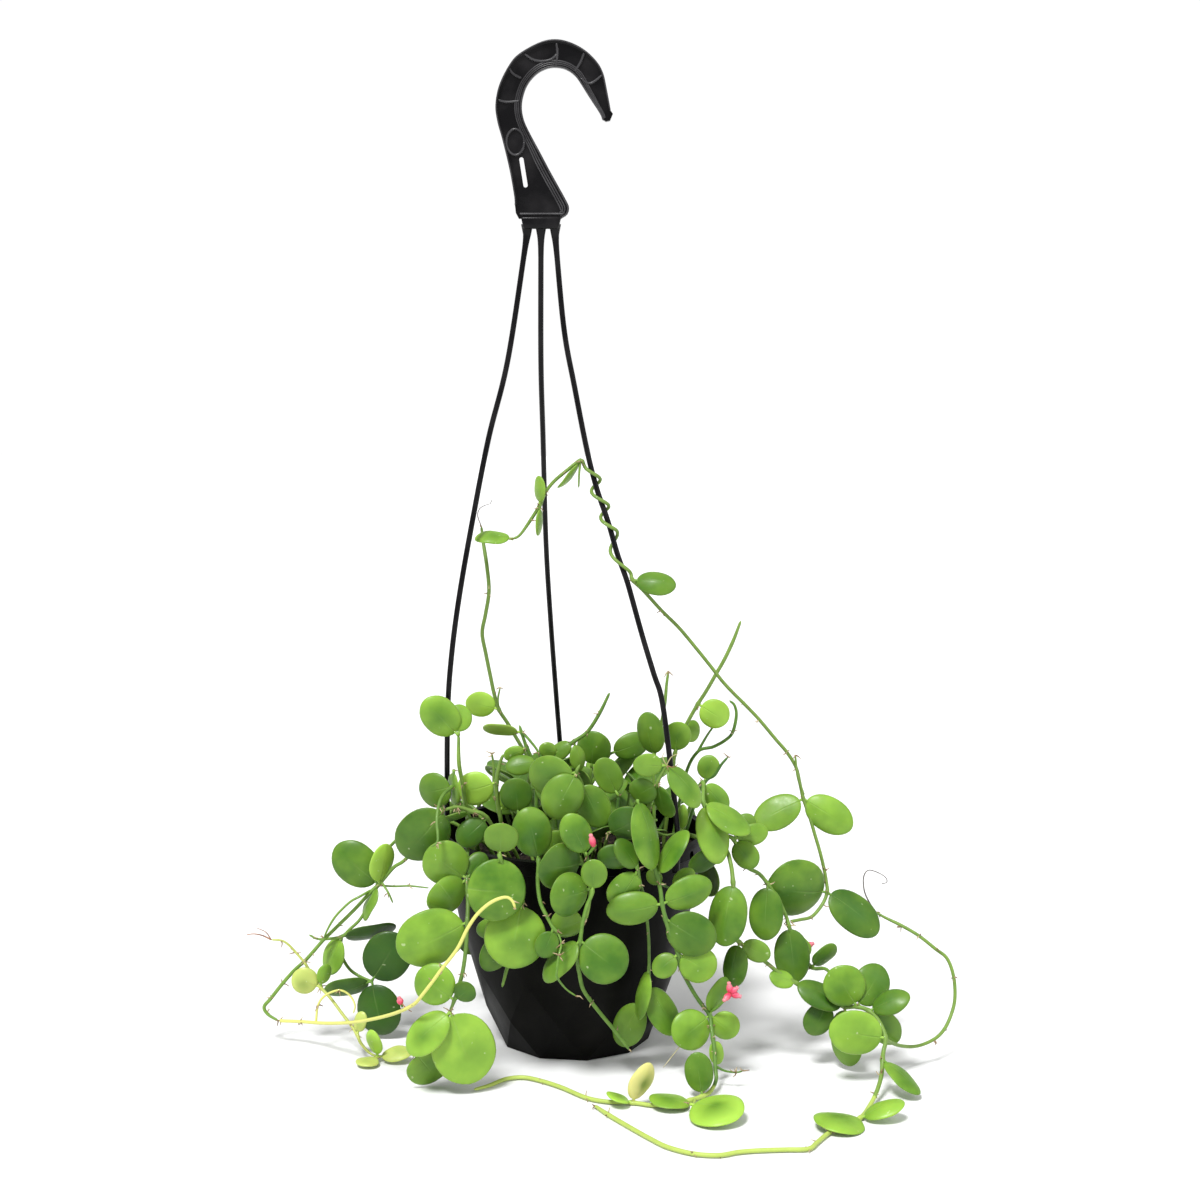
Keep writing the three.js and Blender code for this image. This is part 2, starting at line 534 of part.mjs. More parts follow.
      [92, 92, -64, [88, 55, 22, 1]],
      [93, 76, -62], [94, 60, -60], [96, 56, -58, [113.5, 47, 13, -1], [90, 29, 14, 1]], [104, 50, -56],
      [112, 43.5, -54], [120, 37, -53], [130, 31, -53, [112.5, 34.5, 8, 1]], [138, 26, -55],
      [148, 21, -58, [138, 0, 17, -1]], [158, 17, -60, [131, 31, 9, 1], [160, -19, 19, -1]],
      [165, 17, -66, [152.5, 37, 25, -1], [182, 40, 22, -1]],
      [172, 14.5, -70, [196.5, 21.5, 10.5, 1], [191, -7, 18, -1]], [178, 8, -76],
      [182, -2, -82, [149, 5, 27, 1]], [181, -10, -86], [180.5, -15, -90, [202, -37, 6, 1]],
      [180, -25, -97], [177, -36, -107], [172.5, -45, FLOOR],
      [168, -51, FLOOR, [194, -42, 5, 1], [145, -56, 7, 1]], [160, -54, FLOOR], [150, -60, FLOOR],
      [143, -66, FLOOR], [138, -70, FLOOR], [125, -70.5, FLOOR], [110, -71, FLOOR], [97, -72, FLOOR],
      [85, -74, FLOOR], [70, -73, FLOOR], [55, -69, FLOOR], [45, -64, FLOOR], [33, -57, FLOOR],
      [20, -49, FLOOR], [12, -43.5, FLOOR]] },
    { d: 2, at: [[182, -3, -82.4], [190, -6.5, -68], [200, -7, -56], [210, -3, -48], [216, 3, -42],
      [220, 12, -36], [222, 22, -32], [221, 35, -28], [217, 46, -24], [210, 52, -22], [200, 60, -18],
      [190, 66, -14], [180, 71, -10], [175, 74, -8]] },
  ] },
  { name: "vine_right_fall", over: 304, stems: [
    { d: 2.3, at: [[46, 103, -78], [48, 96, -80, [61.5, 124, 12.5, 1]], [50, 87, -82],
      [51, 79, -84, [19, 74, 20, 1], [80, 90, 20, 1]], [53, 70, -84, [81, 53, 26, -1]], [55, 63, -84],
      [58, 55, -83], [60.5, 49, -82, [46.5, 37, 14, 1], [82, 36, 22, 1]], [61.5, 42, -80], [64, 36, -78],
      [70, 25, -74], [75, 17.5, -71], [79, 12, -70, [59.5, -1, 24, 1], [95, 3, 18, 1], [88, 35, 15, -1]],
      [80, 5, -74], [81, -2, -78, [85.5, -18, 9, 1]], [82, -10, -82], [82.5, -19, -86], [83, -28, -91],
      [79.5, -35, FLOOR], [75, -37.5, FLOOR, [71.5, -11.5, 17, -1]],
      [68, -40, FLOOR, [45.5, -41, 9, 1]], [55, -43, FLOOR], [45, -43, FLOOR],
      [34, -41.5, FLOOR, [42, -16, 13, -1], [18, -40, 5, 1]], [20, -41, FLOOR], [7, -38.5, FLOOR],
      [-8, -32, FLOOR], [-20, -28, FLOOR], [-30, -26, FLOOR], [-40, -27, FLOOR], [-50, -31, FLOOR],
      [-59, -33.5, FLOOR]] },
    { d: 1.6, at: [[49, 91, -81], [52, 90, -74, [42.5, 98, 9, 1]], [56, 88, -69, [69, 99, 10, 1]]] },
    { d: 1.4, at: [[82.5, -19, -86], [88, -22, -86], [95, -23, -86], [99, -22, -86]] },
    { d: 1.6, at: [[71, -39, FLOOR], [70, -42, -116], [68, -42.5, -122, [97, -49, 18, 1]]] },
  ] },
  { name: "vine_front_thin", over: 296, stems: [
    { d: 1.8, at: [[36, 106, -80, [11, 108, 17, -1]], [37, 99, -84, [22, 76, 18, -1], [24.5, 117, 11, 1]],
      [38.5, 91, -80],
      [41, 80, -76], [43, 62, -72], [43.5, 50, -68], [43.5, 40, -64, [50, 10, 6, -1]],
      [43, 30, -61, [48, -2, 15, 1]], [39, 20, -59, [24, -8, 18, 1]]] },
  ] },
  { name: "vine_twining", stems: [
    { d: 2, at: [[126, 68.5, -36.6], [131, 69.5, -33], [138, 71.5, -28], [144, 79, -23],
      [146.5, 86, -20, [117, 93, 36, 1], [175, 61, 19, 1]], [146, 92, -18], [144.5, 100, -17],
      [142, 110, -16], [139, 120, -14], [136, 130, -12],
      [132, 141.5, -10, [104.5, 126, 17, 1], [159.5, 124, 20, 1]], [130, 150, -10], [127.5, 160, -10],
      [122, 169, -10], [116, 176, -11], [106, 188, -12], [97.5, 197, -13], [91, 203.5, -14], [85, 210, -15],
      [78, 219, -17], [70, 229, -19], [60, 241, -22], [50, 251, -25], [40, 262, -29],
      [33.5, 268.5, -32, [57, 261, 12, 1]]],
    wound: [[4, 336.5, -17, [-6, 319, 6, -1]], [-4, 330.5, -18], [-11, 324.5, -18], [-16, 318, -18],
      [-19, 311, -18, [-13.5, 327.5, 7, 1], [-21, 294, 4, -1]], [-24, 303, -18], [-30, 294.5, -18],
      [-34, 292, -18, [-55.5, 295, 5.5, 1]]] },
    { d: 1.4, at: [[4, 336, -17], [3.3, 329, -19], [3, 321, -19]] },
    { d: 1.6, at: [[132, 144, -10], [128.5, 155, -12], [127, 167, -12]] },
  ] },
];
// The twining stem's winding round the right arm: height, and turns made from its right side, where
// it rises to the left in front of the arm.
const COIL = [[276.3, 0], [299, 1], [313.2, 2], [327.6, 3], [334.9, 3.5]];
const COIL_RADIUS = 3.5;
const COIL_CUTS = 10;
// Stems behind the pot hang over the rim at these angles with so many pairs of leaves, and short
// tufts stand in the soil at these radii and angles.
const HANGING = [[30, 2], [62, 3], [84, 4], [110, 3], [132, 4], [152, 2]];
const HANGING_PITCH = 22;
const TUFTS = [[22, 70], [34, 20], [40, 60], [44, 100], [46, 140], [30, 150], [56, 45], [58, 120],
  [30, 300], [28, 250], [46, 332]];
const FILL_LEAF = 25;
const ROOT_RING = 58;
const TIP_LIFT = 3;
const LYING_NODE = 8;
const LYING_LIFT = 0.22;
const LYING_LEAN = 0.012;
const UP = new THREE.Vector3(0, 0, 1);

const draw = stream(11);

/** Winding round the right arm, from the right side of the arm up to its left. */
function coilPoints() {
  const arm = armLine("right");
  const turns = COIL.at(-1)[1];
  return Array.from({ length: turns * COIL_CUTS + 1 }, (_, i) => {
    const turn = i / COIL_CUTS;
    const k = Math.min(COIL.findIndex(([, made]) => made >= turn - 1e-9) || 1, COIL.length - 1);
    const [[z0, t0], [z1, t1]] = [COIL[k - 1], COIL[k]];
    const z = z0 + ((z1 - z0) * (turn - t0)) / (t1 - t0);
    const below = arm.findIndex((point) => point.z < z);
    const part = (z - arm[below].z) / (arm[below - 1].z - arm[below].z);
    return arm[below].clone().lerp(arm[below - 1], part).add(new THREE.Vector3(
      COIL_RADIUS * Math.cos(2 * Math.PI * turn), -COIL_RADIUS * Math.sin(2 * Math.PI * turn), 0));
  });
}

/** Turns a blade: its tip toward its face, then its face about its length, then its length in its plane. */
function turnBlade(along, face, lean, roll, spin) {
  const tipped = along.clone().multiplyScalar(Math.cos(lean)).addScaledVector(face, Math.sin(lean));
  const leant = face.clone().multiplyScalar(Math.cos(lean)).addScaledVector(along, -Math.sin(lean));
  const side = new THREE.Vector3().crossVectors(leant, tipped);
  const rolled = leant.multiplyScalar(Math.cos(roll)).addScaledVector(side, Math.sin(roll));
  side.crossVectors(rolled, tipped);
  return [tipped.multiplyScalar(Math.cos(spin)).addScaledVector(side, Math.sin(spin)), rolled];
}

/** A leaf as it is seen: one that looks short leans, and one that looks narrow is rolled. A leaf that
 * lies on the ground leans toward the viewer, the more the wider it looks. */
function seenLeaf(node, [tipX, tipHeight, seenWidth, way]) {
  let tip = seen(tipX, tipHeight, node.y);
  const low = tip.z < TIP_LIFT;
  const lying = low && node.z < LYING_NODE;
  if (low) {
    tip = laid(tipX, tipHeight, lying ? TIP_LIFT + LYING_LIFT * seenWidth : TIP_LIFT);
  }
  const reach = tip.distanceTo(node);
  const along = tip.clone().sub(node).normalize();
  const facing = lying ? new THREE.Vector3(0, -LYING_LEAN * seenWidth, 1) : TOWARD;
  const face = facing.clone().addScaledVector(along, -facing.dot(along)).normalize();
  if (lying) {
    return { node, along, face, length: reach, width: LEAF_RATIO * reach };
  }
  const wide = (seenWidth * (node.y - EYE.y)) / -EYE.y;
  const length = Math.max(reach, wide / LEAF_RATIO);
  const width = Math.max(wide, LEAF_SLIM * length);
  const upward = new THREE.Vector3().crossVectors(face, along).z < 0 ? -1 : 1;
  const [bladeAlong, bladeFace] = turnBlade(along, face, way * Math.acos(reach / length),
    way * upward * Math.acos(wide / width), 0);
  return { node, along: bladeAlong, face: bladeFace, length, width };
}

/** A stem's points: straight up out of the soil where it has a root, then smooth. */
function stemLine({ roots, route }) {
  return roots.length ? [roots[0], ...trace([...roots.slice(1), ...route])] : trace(route);
}

function rootPoints({ root, over }) {
  if (root) {
    return [ROOT_DEPTH, -5].map((down) => new THREE.Vector3(...root, SOIL_TOP - down));
  }
  if (over !== undefined) {
    return [polar(ROOT_RING, over, SOIL_TOP - ROOT_DEPTH), polar(ROOT_RING, over, SOIL_TOP + 5),
      polar(ROOT_RING + 8, over, RIM_TOP + 3), polar(RIM_RADIUS + 1, over, RIM_TOP + 6.5)];
  }
  return [];
}

/** One leafy stem read from the view: its stems' routes and its leaves' poses. */
function readVine(vine) {
  const leaves = [];
  const stems = vine.stems.map(({ d, at, wound = [] }, i) => {
    const radius = d / 2;
    const place = ([x, height, y, ...tips]) => {
      const point = y === FLOOR ? laid(x, height, radius + GAP) : seen(x, height, y);
      leaves.push(...tips.map((tip) => seenLeaf(point, tip)));
      return point;
    };
    const route = at.map(place);
    if (wound.length) {
      route.push(...coilPoints(), ...wound.map(place));
    }
    return { radius, roots: i === 0 ? rootPoints(vine) : [], route };
  });
  return { name: vine.name, ripe: vine.ripe, stems, leaves };
}

/** A stem that hangs behind the pot, with pairs of leaves that face outward. */
function hangingVine([angle, pairs], index) {
  const route = Array.from({ length: pairs }, (_, i) => (
    polar(RIM_RADIUS + 8.5 + 2 * draw(), angle + 2 * draw(), RIM_TOP - 6 - HANGING_PITCH * i)));
  const leaves = route.flatMap((node, i) => [-1, 1].map((hand) => {
    const face = new THREE.Vector3(node.x, node.y, 0).normalize();
    const down = radians(i % 2 ? 48 : 20);
    const along = new THREE.Vector3(-face.y, face.x, 0).multiplyScalar(hand * Math.cos(down));
    along.z = -Math.sin(down);
    const length = FILL_LEAF + 2.5 * draw();
    return { node, along, face, length, width: LEAF_RATIO * length };
  }));
  const stems = [{ radius: 1.1, roots: rootPoints({ over: angle }), route }];
  return { name: `vine_back_${index + 1}`, plain: true, stems, leaves };
}

/** A short tuft in the soil, with two crossed pairs of leaves. */
function tuft([radius, angle], index) {
  const root = polar(radius, angle, 0);
  const heading = 180 * draw();
  const route = [10, 26].map((rise, i) => (
    new THREE.Vector3(root.x + 3 * draw(), root.y + 3 * draw(), SOIL_TOP + SOIL_CROWN + rise + 2 * i)));
  const leaves = route.flatMap((node, i) => [0, 180].map((turn) => {
    const out = polar(1, heading + 90 * i + turn, 0);
    const lift = radians(i ? 35 : 12);
    const along = out.clone().multiplyScalar(Math.cos(lift)).addScaledVector(UP, Math.sin(lift));
    const face = UP.clone().multiplyScalar(Math.cos(lift)).addScaledVector(out, -Math.sin(lift));
    const length = FILL_LEAF - 1 + 3 * draw();
    return { node, along, face, length, width: LEAF_RATIO * length };
  }));
  const stems = [{ radius: 1, roots: rootPoints({ root: [root.x, root.y] }), route }];
  return { name: `tuft_${index + 1}`, plain: true, stems, leaves };
}

// Clear places for the leaves. Each leaf takes the first of these tries that meets nothing: its size,
// how far it is turned from the pose that was read, and whether it may cross the stem that it is on.
const TRIES = [[1, 0, false], [1, 8, false], [1, 16, false], [1, 8, true], [1, 16, true], [0.9, 16, true],
  [1, 24, true], [0.88, 24, true], [1, 34, true], [0.88, 34, true], [0.76, 24, true], [0.76, 36, true],
  [0.76, 50, true]];
const BLADE_CENTRE = 0.54;
const NODE_CLEAR = 5;
const KIN_CLEAR = 9;
const JITTER = 7;
const BLADE_RINGS = [[0, 1], [0.25, 6], [0.5, 12], [0.75, 18], [1, 24]];
const BLADE_POINTS = BLADE_RINGS.flatMap(([out, count]) => (
  Array.from({ length: count }, (_, i) => [out, (2 * Math.PI * i) / count])));

function bladeOf({ vine, node, length, width }, along, face, dome, size) {
  const side = new THREE.Vector3().crossVectors(face, along);
  const centre = node.clone().addScaledVector(along, BLADE_CENTRE * length * size);
  const blade = { vine, node, along, side, face, centre, length: length * size, width: width * size };
  blade.dome = dome * blade.length;
  blade.surface = BLADE_POINTS.map(([out, turn]) => centre.clone()
    .addScaledVector(along, (1 - BLADE_CENTRE) * blade.length * out * Math.cos(turn))
    .addScaledVector(side, 0.5 * blade.width * out * Math.sin(turn))
    .addScaledVector(face, blade.dome * (1 - out * out)));
  return blade;
}

/** Whether a point comes nearer to a blade than it may. */
function meets(blade, point, clear) {
  const off = new THREE.Vector3().subVectors(point, blade.centre);
  const out = Math.hypot(off.dot(blade.along) / ((1 - BLADE_CENTRE) * blade.length),
    off.dot(blade.side) / (0.5 * blade.width));
  const above = off.dot(blade.face) - blade.dome * Math.max(0, 1 - out * out);
  return out < 1 + clear / (0.5 * blade.width) && Math.abs(above) < clear;
}

/** Whether a point is free of the ground, the pot and the soil. */
function isFree(point) {
  const radius = Math.hypot(point.x, point.y);
  const inRim = radius < RIM_RADIUS - WALL - WALL_CLEAR && point.z > SOIL_TOP + SOIL_CROWN + WALL_CLEAR;
  const beside = radius > radiusAt(POT_OUTSIDE, point.z) + WALL_CLEAR;
  return point.z > 1 && (point.z > RIM_TOP + WALL_CLEAR || inRim || beside);
}

/** Whether a blade is clear of the blades placed before it and of the rods: stems, hanger arms and buds. */
function isClear(blade, placed, rods, passOwnStem) {
  if (!blade.surface.every(isFree)) {
    return false;
  }
  const meetsBlade = placed.some((other) => {
    if (other.centre.distanceTo(blade.centre) > 0.6 * (other.length + blade.length)) {
      return false;
    }
    const counts = (point) => other.vine !== blade.vine
      || (point.distanceTo(blade.node) > KIN_CLEAR && point.distanceTo(other.node) > KIN_CLEAR);
    return blade.surface.some((point) => counts(point) && meets(other, point, LEAF_CLEAR))
      || other.surface.some((point) => counts(point) && meets(blade, point, LEAF_CLEAR));
  });
  return !meetsBlade && !rods.some((rod) => {
    const own = rod.vine === blade.vine;
    const passed = own && passOwnStem && !rod.isBud;
    return !passed && rod.points.some((point) => (
      (!own || point.distanceTo(blade.node) > NODE_CLEAR) && meets(blade, point, rod.radius + STEM_CLEAR)));
  });
}

/** The first clear try of a leaf, or nothing. */
function placeLeaf(leaf, placed, rods) {
  const dome = LEAF_DOME * (1 + 0.5 * draw());
  const [lean, roll] = [radians(JITTER * draw()), radians(JITTER * draw())];
  const [along, face] = turnBlade(leaf.along, leaf.face, lean, roll, 0);
  const reach = leaf.length + COIL_RADIUS;
  const near = rods
    .map((rod) => ({ ...rod, points: rod.points.filter((point) => point.distanceTo(leaf.node) < reach) }))
    .filter((rod) => rod.points.length);
  for (const [size, turn, passOwnStem] of TRIES) {
    for (let i = 0; i < (turn ? 24 : 1); i += 1) {
      const way = radians(45 * (i % 8));
      const spin = radians(turn / 2) * [0, 1, -1][Math.floor(i / 8)];
      const [more, over] = [radians(turn) * Math.cos(way), radians(turn) * Math.sin(way)];
      const pose = turnBlade(along, face, more, over, spin);
      const blade = bladeOf(leaf, ...pose, dome, size);
      if (isClear(blade, placed, near, passOwnStem)) {
        return blade;
      }
    }
  }
  return null;
}

// Half of a leaf's outline from the middle of its stem: parts of its length, and of its width. Small
// leaves and those at the back have a plainer one.
const OUTLINE = [[0, 0], [0.15, 0.3], [0.46, 0.5], [0.8, 0.38], [1, 0]];
const PLAIN_OUTLINE = [[0, 0], [0.24, 0.42], [0.72, 0.46], [1, 0]];
const SMALL_LEAF = 19;

function leafBody({ node, along, side, face, length, width, dome }, plain) {
  const outline = plain || length < SMALL_LEAF ? PLAIN_OUTLINE : OUTLINE;
  const half = outline.map(([u, v]) => [u * length, v * width]);
  const otherHalf = half.slice(1, -1).reverse().map(([u, v]) => [u, -v]);
  const at = (u, v, height) => node.clone()
    .addScaledVector(along, u)
    .addScaledVector(side, v)
    .addScaledVector(face, height);
  const ring = (height) => [...half, ...otherHalf].map(([u, v]) => at(u, v, height));
  const middle = BLADE_CENTRE * length;
  return loft(at(middle, 0, dome - LEAF_BODY / 2), [ring(-LEAF_EDGE / 2), ring(LEAF_EDGE / 2)],
    at(middle, 0, dome + LEAF_BODY / 2));
}

// Buds: pink urns on short stalks. Each stalk starts beside the stem it belongs to.
const BUDS = [
  { name: "bud_crown", on: "vine_front_lime", stalk: [[8.5, 108.6, -94.3], [11.5, 113, -98.5]],
    tips: [[9.5, 120.5, -100.5]] },
  { name: "buds_front", on: "vine_right_fall", stalk: [[80.2, 14.3, -72], [87, 20, -80], [91, 25, -83]],
    tips: [[90, 32, -84], [95.5, 29, -84], [97.5, 23, -84], [87, 20.5, -88]] },
  { name: "bud_right", on: "vine_right_leafy", stalk: [[154.8, 20.4, -60.6], [154.6, 23, -62]],
    tips: [[153.8, 28.5, -63]] },
  { name: "bud_right_high", on: "vine_right_mid", stalk: [[132.1, 52.3, -31.8], [134.6, 53.4, -33.5]],
    tips: [[139.4, 55.5, -34.5]] },
  { name: "bud_left", on: "vine_left_runner", stalk: [[-100.4, 17, -96.5], [-101, 18.5, -97]],
    tips: [[-102.4, 23, -97.5]] },
];
const URN = [[0.6, 0], [1.8, 0.25], [1.8, 0.6], [0.7, 1]];

function makeBuds({ stalk, tips }) {
  const points = stalk.map((point) => seen(...point));
  const urns = tips.map((tip) => {
    const [from, to] = [points.at(-1), seen(...tip)];
    const along = to.clone().sub(from).normalize();
    const side = new THREE.Vector3().crossVectors(along, TOWARD).normalize();
    const other = new THREE.Vector3().crossVectors(along, side);
    const rings = URN.map(([radius, part]) => Array.from({ length: 6 }, (_, k) => from.clone().lerp(to, part)
      .addScaledVector(side, radius * Math.cos((Math.PI * k) / 3))
      .addScaledVector(other, radius * Math.sin((Math.PI * k) / 3))));
    return loft(from, rings, to);
  });
  return join([tube(points, 0.6, 4), ...urns]);
}

// Assembly

const COLOURS = {
  pot: { color: 0x252326, roughness: 0.5 },
  hanger: { color: 0x1f1e20, roughness: 0.45 },
  soil: { color: 0x3a2c22, roughness: 0.95 },
  leaf: { color: 0x6b9b46, roughness: 0.4 },
  ripe: { color: 0xd9d36a, roughness: 0.45 },
  bud: { color: 0xe1506e, roughness: 0.4 },
};

const group = new THREE.Group();
group.name = "potted_dischidia_platyphylla";

function add(name, body, look) {
  const mesh = new THREE.Mesh(geometryOf(body), new THREE.MeshStandardMaterial(COLOURS[look]));
  mesh.name = name;
  group.add(mesh);
}

const vines = [...VINES.map(readVine), ...HANGING.map(hangingVine), ...TUFTS.map(tuft)];
const rods = vines.flatMap(({ name, stems }) => stems.map((stem) => (
  { vine: name, radius: stem.radius, points: stemLine(stem) })));
for (const side of Object.keys(ARM_ANGLES)) {
  rods.push({ vine: side, radius: ARM_RADIUS, points: armLine(side) });
}
for (const { on, stalk, tips } of BUDS) {
  rods.push({ vine: on, isBud: true, radius: 2, points: [...stalk, ...tips].map((point) => seen(...point)) });
}

const placed = [];
const leaves = vines.flatMap((vine) => vine.leaves.map((leaf) => ({ ...leaf, vine: vine.name })));
for (const leaf of leaves.sort((one, other) => one.node.y - other.node.y)) {
  const blade = placeLeaf(leaf, placed, rods);
  if (blade) {
    placed.push(blade);
  }
}

add("pot", makePot(), "pot");
add("soil", makeSoil(vines.flatMap(({ stems }) => {
  const [{ radius, roots }] = stems;
  return roots.length ? [{ radius, root: [roots[0].x, roots[0].y] }] : [];
})), "soil");
add("hanger_hook", makeHook(), "hanger");
for (const side of Object.keys(ARM_ANGLES)) {
  add(`hanger_arm_${side}`, makeArm(side), "hanger");
}
for (const { name, ripe, plain, stems } of vines) {
  const tubes = stems.map((stem) => tube(thin(stemLine(stem)), stem.radius, STEM_SIDES));
  const own = placed.filter(({ vine }) => vine === name).map((blade) => leafBody(blade, plain));
  add(name, join([...tubes, ...own]), ripe ? "ripe" : "leaf");
}
for (const buds of BUDS) {
  add(buds.name, makeBuds(buds), "bud");
}

export default group;
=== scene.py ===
import math

import bpy
import numpy as np
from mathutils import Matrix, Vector, noise


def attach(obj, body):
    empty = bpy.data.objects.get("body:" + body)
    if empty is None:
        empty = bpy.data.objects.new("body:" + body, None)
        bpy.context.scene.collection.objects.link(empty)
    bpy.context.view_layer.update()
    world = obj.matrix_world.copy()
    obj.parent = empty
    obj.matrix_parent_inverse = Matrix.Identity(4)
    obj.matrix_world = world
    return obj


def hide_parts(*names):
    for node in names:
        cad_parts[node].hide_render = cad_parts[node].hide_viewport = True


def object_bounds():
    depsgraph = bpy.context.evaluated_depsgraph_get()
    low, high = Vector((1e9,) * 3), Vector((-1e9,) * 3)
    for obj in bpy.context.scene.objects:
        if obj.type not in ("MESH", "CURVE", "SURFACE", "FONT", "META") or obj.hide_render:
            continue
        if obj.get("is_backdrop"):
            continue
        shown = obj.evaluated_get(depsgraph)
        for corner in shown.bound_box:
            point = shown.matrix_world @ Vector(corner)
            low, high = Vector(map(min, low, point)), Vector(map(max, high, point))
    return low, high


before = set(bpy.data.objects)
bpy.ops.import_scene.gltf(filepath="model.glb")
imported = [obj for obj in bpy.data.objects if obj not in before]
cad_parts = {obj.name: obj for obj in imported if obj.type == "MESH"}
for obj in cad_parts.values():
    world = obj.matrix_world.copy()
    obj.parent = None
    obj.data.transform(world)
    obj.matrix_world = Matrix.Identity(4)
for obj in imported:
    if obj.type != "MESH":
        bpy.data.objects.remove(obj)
cad_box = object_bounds()

# Pot: black injection-moulded plastic. Ten flat facets at the foot twist half a facet at each level and
# run out into a round shoulder, and a plain band with a lip makes the rim. The band has pierced places
# for the hanger's pegs, and the floor has drain holes inside a ring-shaped groove.
MM = 0.001
ROUND = 96
RIM_RADIUS = 76
RIM_TOP = 124
RIM_LIP = 1.4
WALL = 3
FACET_TURN = -8
# The pot's levels as (sides, radius, height, turn in degrees), then outlines as (radius, height).
POT_LEVELS = [(10, 43.5, 0, 0), (10, 44.5, 5, 0), (10, 51.6, 21, 18), (10, 60.6, 48, 36),
              (ROUND, 67, 75, 0), (ROUND, 75, 116, 0)]
POT_INSIDE = [(40, 2.6), (55.6, 48), (64.8, 75), (73, 114)]
POT_OUTSIDE = [(44.5, 0), (44.5, 5), (51.6, 21), (60.6, 48), (67, 75), (75, 116), (77.4, 122), (77.4, 124)]
RIM_OUTSIDE = [(RIM_RADIUS - 1.5, 115), (RIM_RADIUS, 116), (RIM_RADIUS, 121.4),
               (RIM_RADIUS + RIM_LIP, 122), (RIM_RADIUS + RIM_LIP, RIM_TOP)]
FLOOR_GROOVE = [(37, -1), (36, 1.2)]
GROOVE_MIDDLE = [(17, -2), (18, 2)]
DRAIN_HOLES = 5
DRAIN_RING = 27
DRAIN_RADIUS = 3.5
ARM_ANGLES = {"back": 96, "left": 208, "right": 316}
PEG_HEIGHT = 118
PEG_SPREAD = 15
PEG_HOLE = 2.3


def pick(*pieces):
    """Selects these pieces and nothing else."""
    bpy.ops.object.select_all(action="DESELECT")
    for piece in pieces:
        piece.select_set(True)
    bpy.context.view_layer.objects.active = pieces[0]


def face_outward(piece):
    """Picks a piece and turns all of its faces outward."""
    pick(piece)
    bpy.ops.object.mode_set(mode="EDIT")
    bpy.ops.mesh.select_all(action="SELECT")
    bpy.ops.mesh.normals_make_consistent(inside=False)
    bpy.ops.object.mode_set(mode="OBJECT")


def turned(name, outline, sides=ROUND):
    """A closed round body about the pot's axis, pulled up ring by ring from (radius, height)."""
    bpy.ops.mesh.primitive_circle_add(vertices=sides, radius=outline[0][0] * MM, fill_type="NGON",
                                      location=(0, 0, outline[0][1] * MM))
    piece = bpy.context.object
    piece.name = name
    bpy.ops.object.mode_set(mode="EDIT")
    for (radius, height), (next_radius, next_height) in zip(outline, outline[1:]):
        rise = {"value": (0, 0, (next_height - height) * MM)}
        bpy.ops.mesh.extrude_region_move(TRANSFORM_OT_translate=rise)
        share = next_radius / radius
        bpy.ops.transform.resize(value=(share, share, 1), center_override=(0, 0, 0))
    bpy.ops.object.mode_set(mode="OBJECT")
    face_outward(piece)
    bpy.ops.object.transform_apply()
    return piece


def bored(radius, start, end):
    """A round bar between two points in millimetres, to cut a hole with."""
    start, end = Vector(start * MM), Vector(end * MM)
    bpy.ops.mesh.primitive_cylinder_add(
        vertices=24, radius=radius * MM, depth=(end - start).length, location=(start + end) / 2,
        rotation=(end - start).to_track_quat("Z", "Y").to_euler())
    bpy.ops.object.transform_apply()
    return bpy.context.object


def combine(piece, other, operation):
    """Joins the other piece to this one, or cuts it away."""
    modifier = piece.modifiers.new("combine", "BOOLEAN")
    modifier.operation = operation
    modifier.solver = "EXACT"
    modifier.object = other
    pick(piece)
    bpy.ops.object.modifier_apply(modifier=modifier.name)
    bpy.data.objects.remove(other)


def soften(piece, width, angle, segments=2):
    """Rounds the edges that are sharper than an angle."""
    modifier = piece.modifiers.new("soften", "BEVEL")
    modifier.width = width * MM
    modifier.segments = segments
    modifier.limit_method = "ANGLE"
    modifier.angle_limit = math.radians(angle)
    pick(piece)
    bpy.ops.object.modifier_apply(modifier=modifier.name)


def polar(radius, angle, height):
    """The point at a radius from the pot's axis, an angle in degrees and a height."""
    turn = math.radians(angle)
    return np.array([radius * math.cos(turn), radius * math.sin(turn), height])


def finish(name, color, roughness, **more):
    """A new material with its shader's own values set."""
    material = bpy.data.materials.new(name)
    material.use_nodes = True
    shader = material.node_tree.nodes["Principled BSDF"]
    shader.inputs["Base Color"].default_value = (*color, 1)
    shader.inputs["Roughness"].default_value = roughness
    for socket, value in more.items():
        shader.inputs[socket.replace("_", " ")].default_value = value
    return material, shader


def node(material, kind, inputs=None, **settings):
    """A shader node with its settings, and with values or links for its inputs."""
    made = material.node_tree.nodes.new("ShaderNode" + kind)
    for setting, value in settings.items():
        setattr(made, setting, value)
    for socket, value in (inputs or {}).items():
        if isinstance(value, bpy.types.NodeSocket):
            material.node_tree.links.new(value, made.inputs[socket])
        else:
            made.inputs[socket].default_value = value
    return made


def grain(material, scale, detail=3.0, stretch=(1, 1, 1)):
    """A noise that is fixed to the piece, from about 0.3 to 0.7."""
    where = node(material, "TexCoord").outputs["Object"]
    placed = node(material, "Mapping", {"Vector": where, "Scale": stretch}).outputs["Vector"]
    return node(material, "TexNoise", {"Vector": placed, "Scale": scale, "Detail": detail}).outputs["Fac"]


def tones(material, value, first, last, *between):
    """Colours along a value, each stop as (value, colour)."""
    ramp = node(material, "ValToRGB", {"Fac": value})
    ends = ramp.color_ramp.elements
    for end, (position, color) in zip(ends, (first, last)):
        end.position, end.color = position, (*color, 1)
    for position, color in between:
        ramp.color_ramp.elements.new(position).color = (*color, 1)
    return ramp.outputs["Color"]


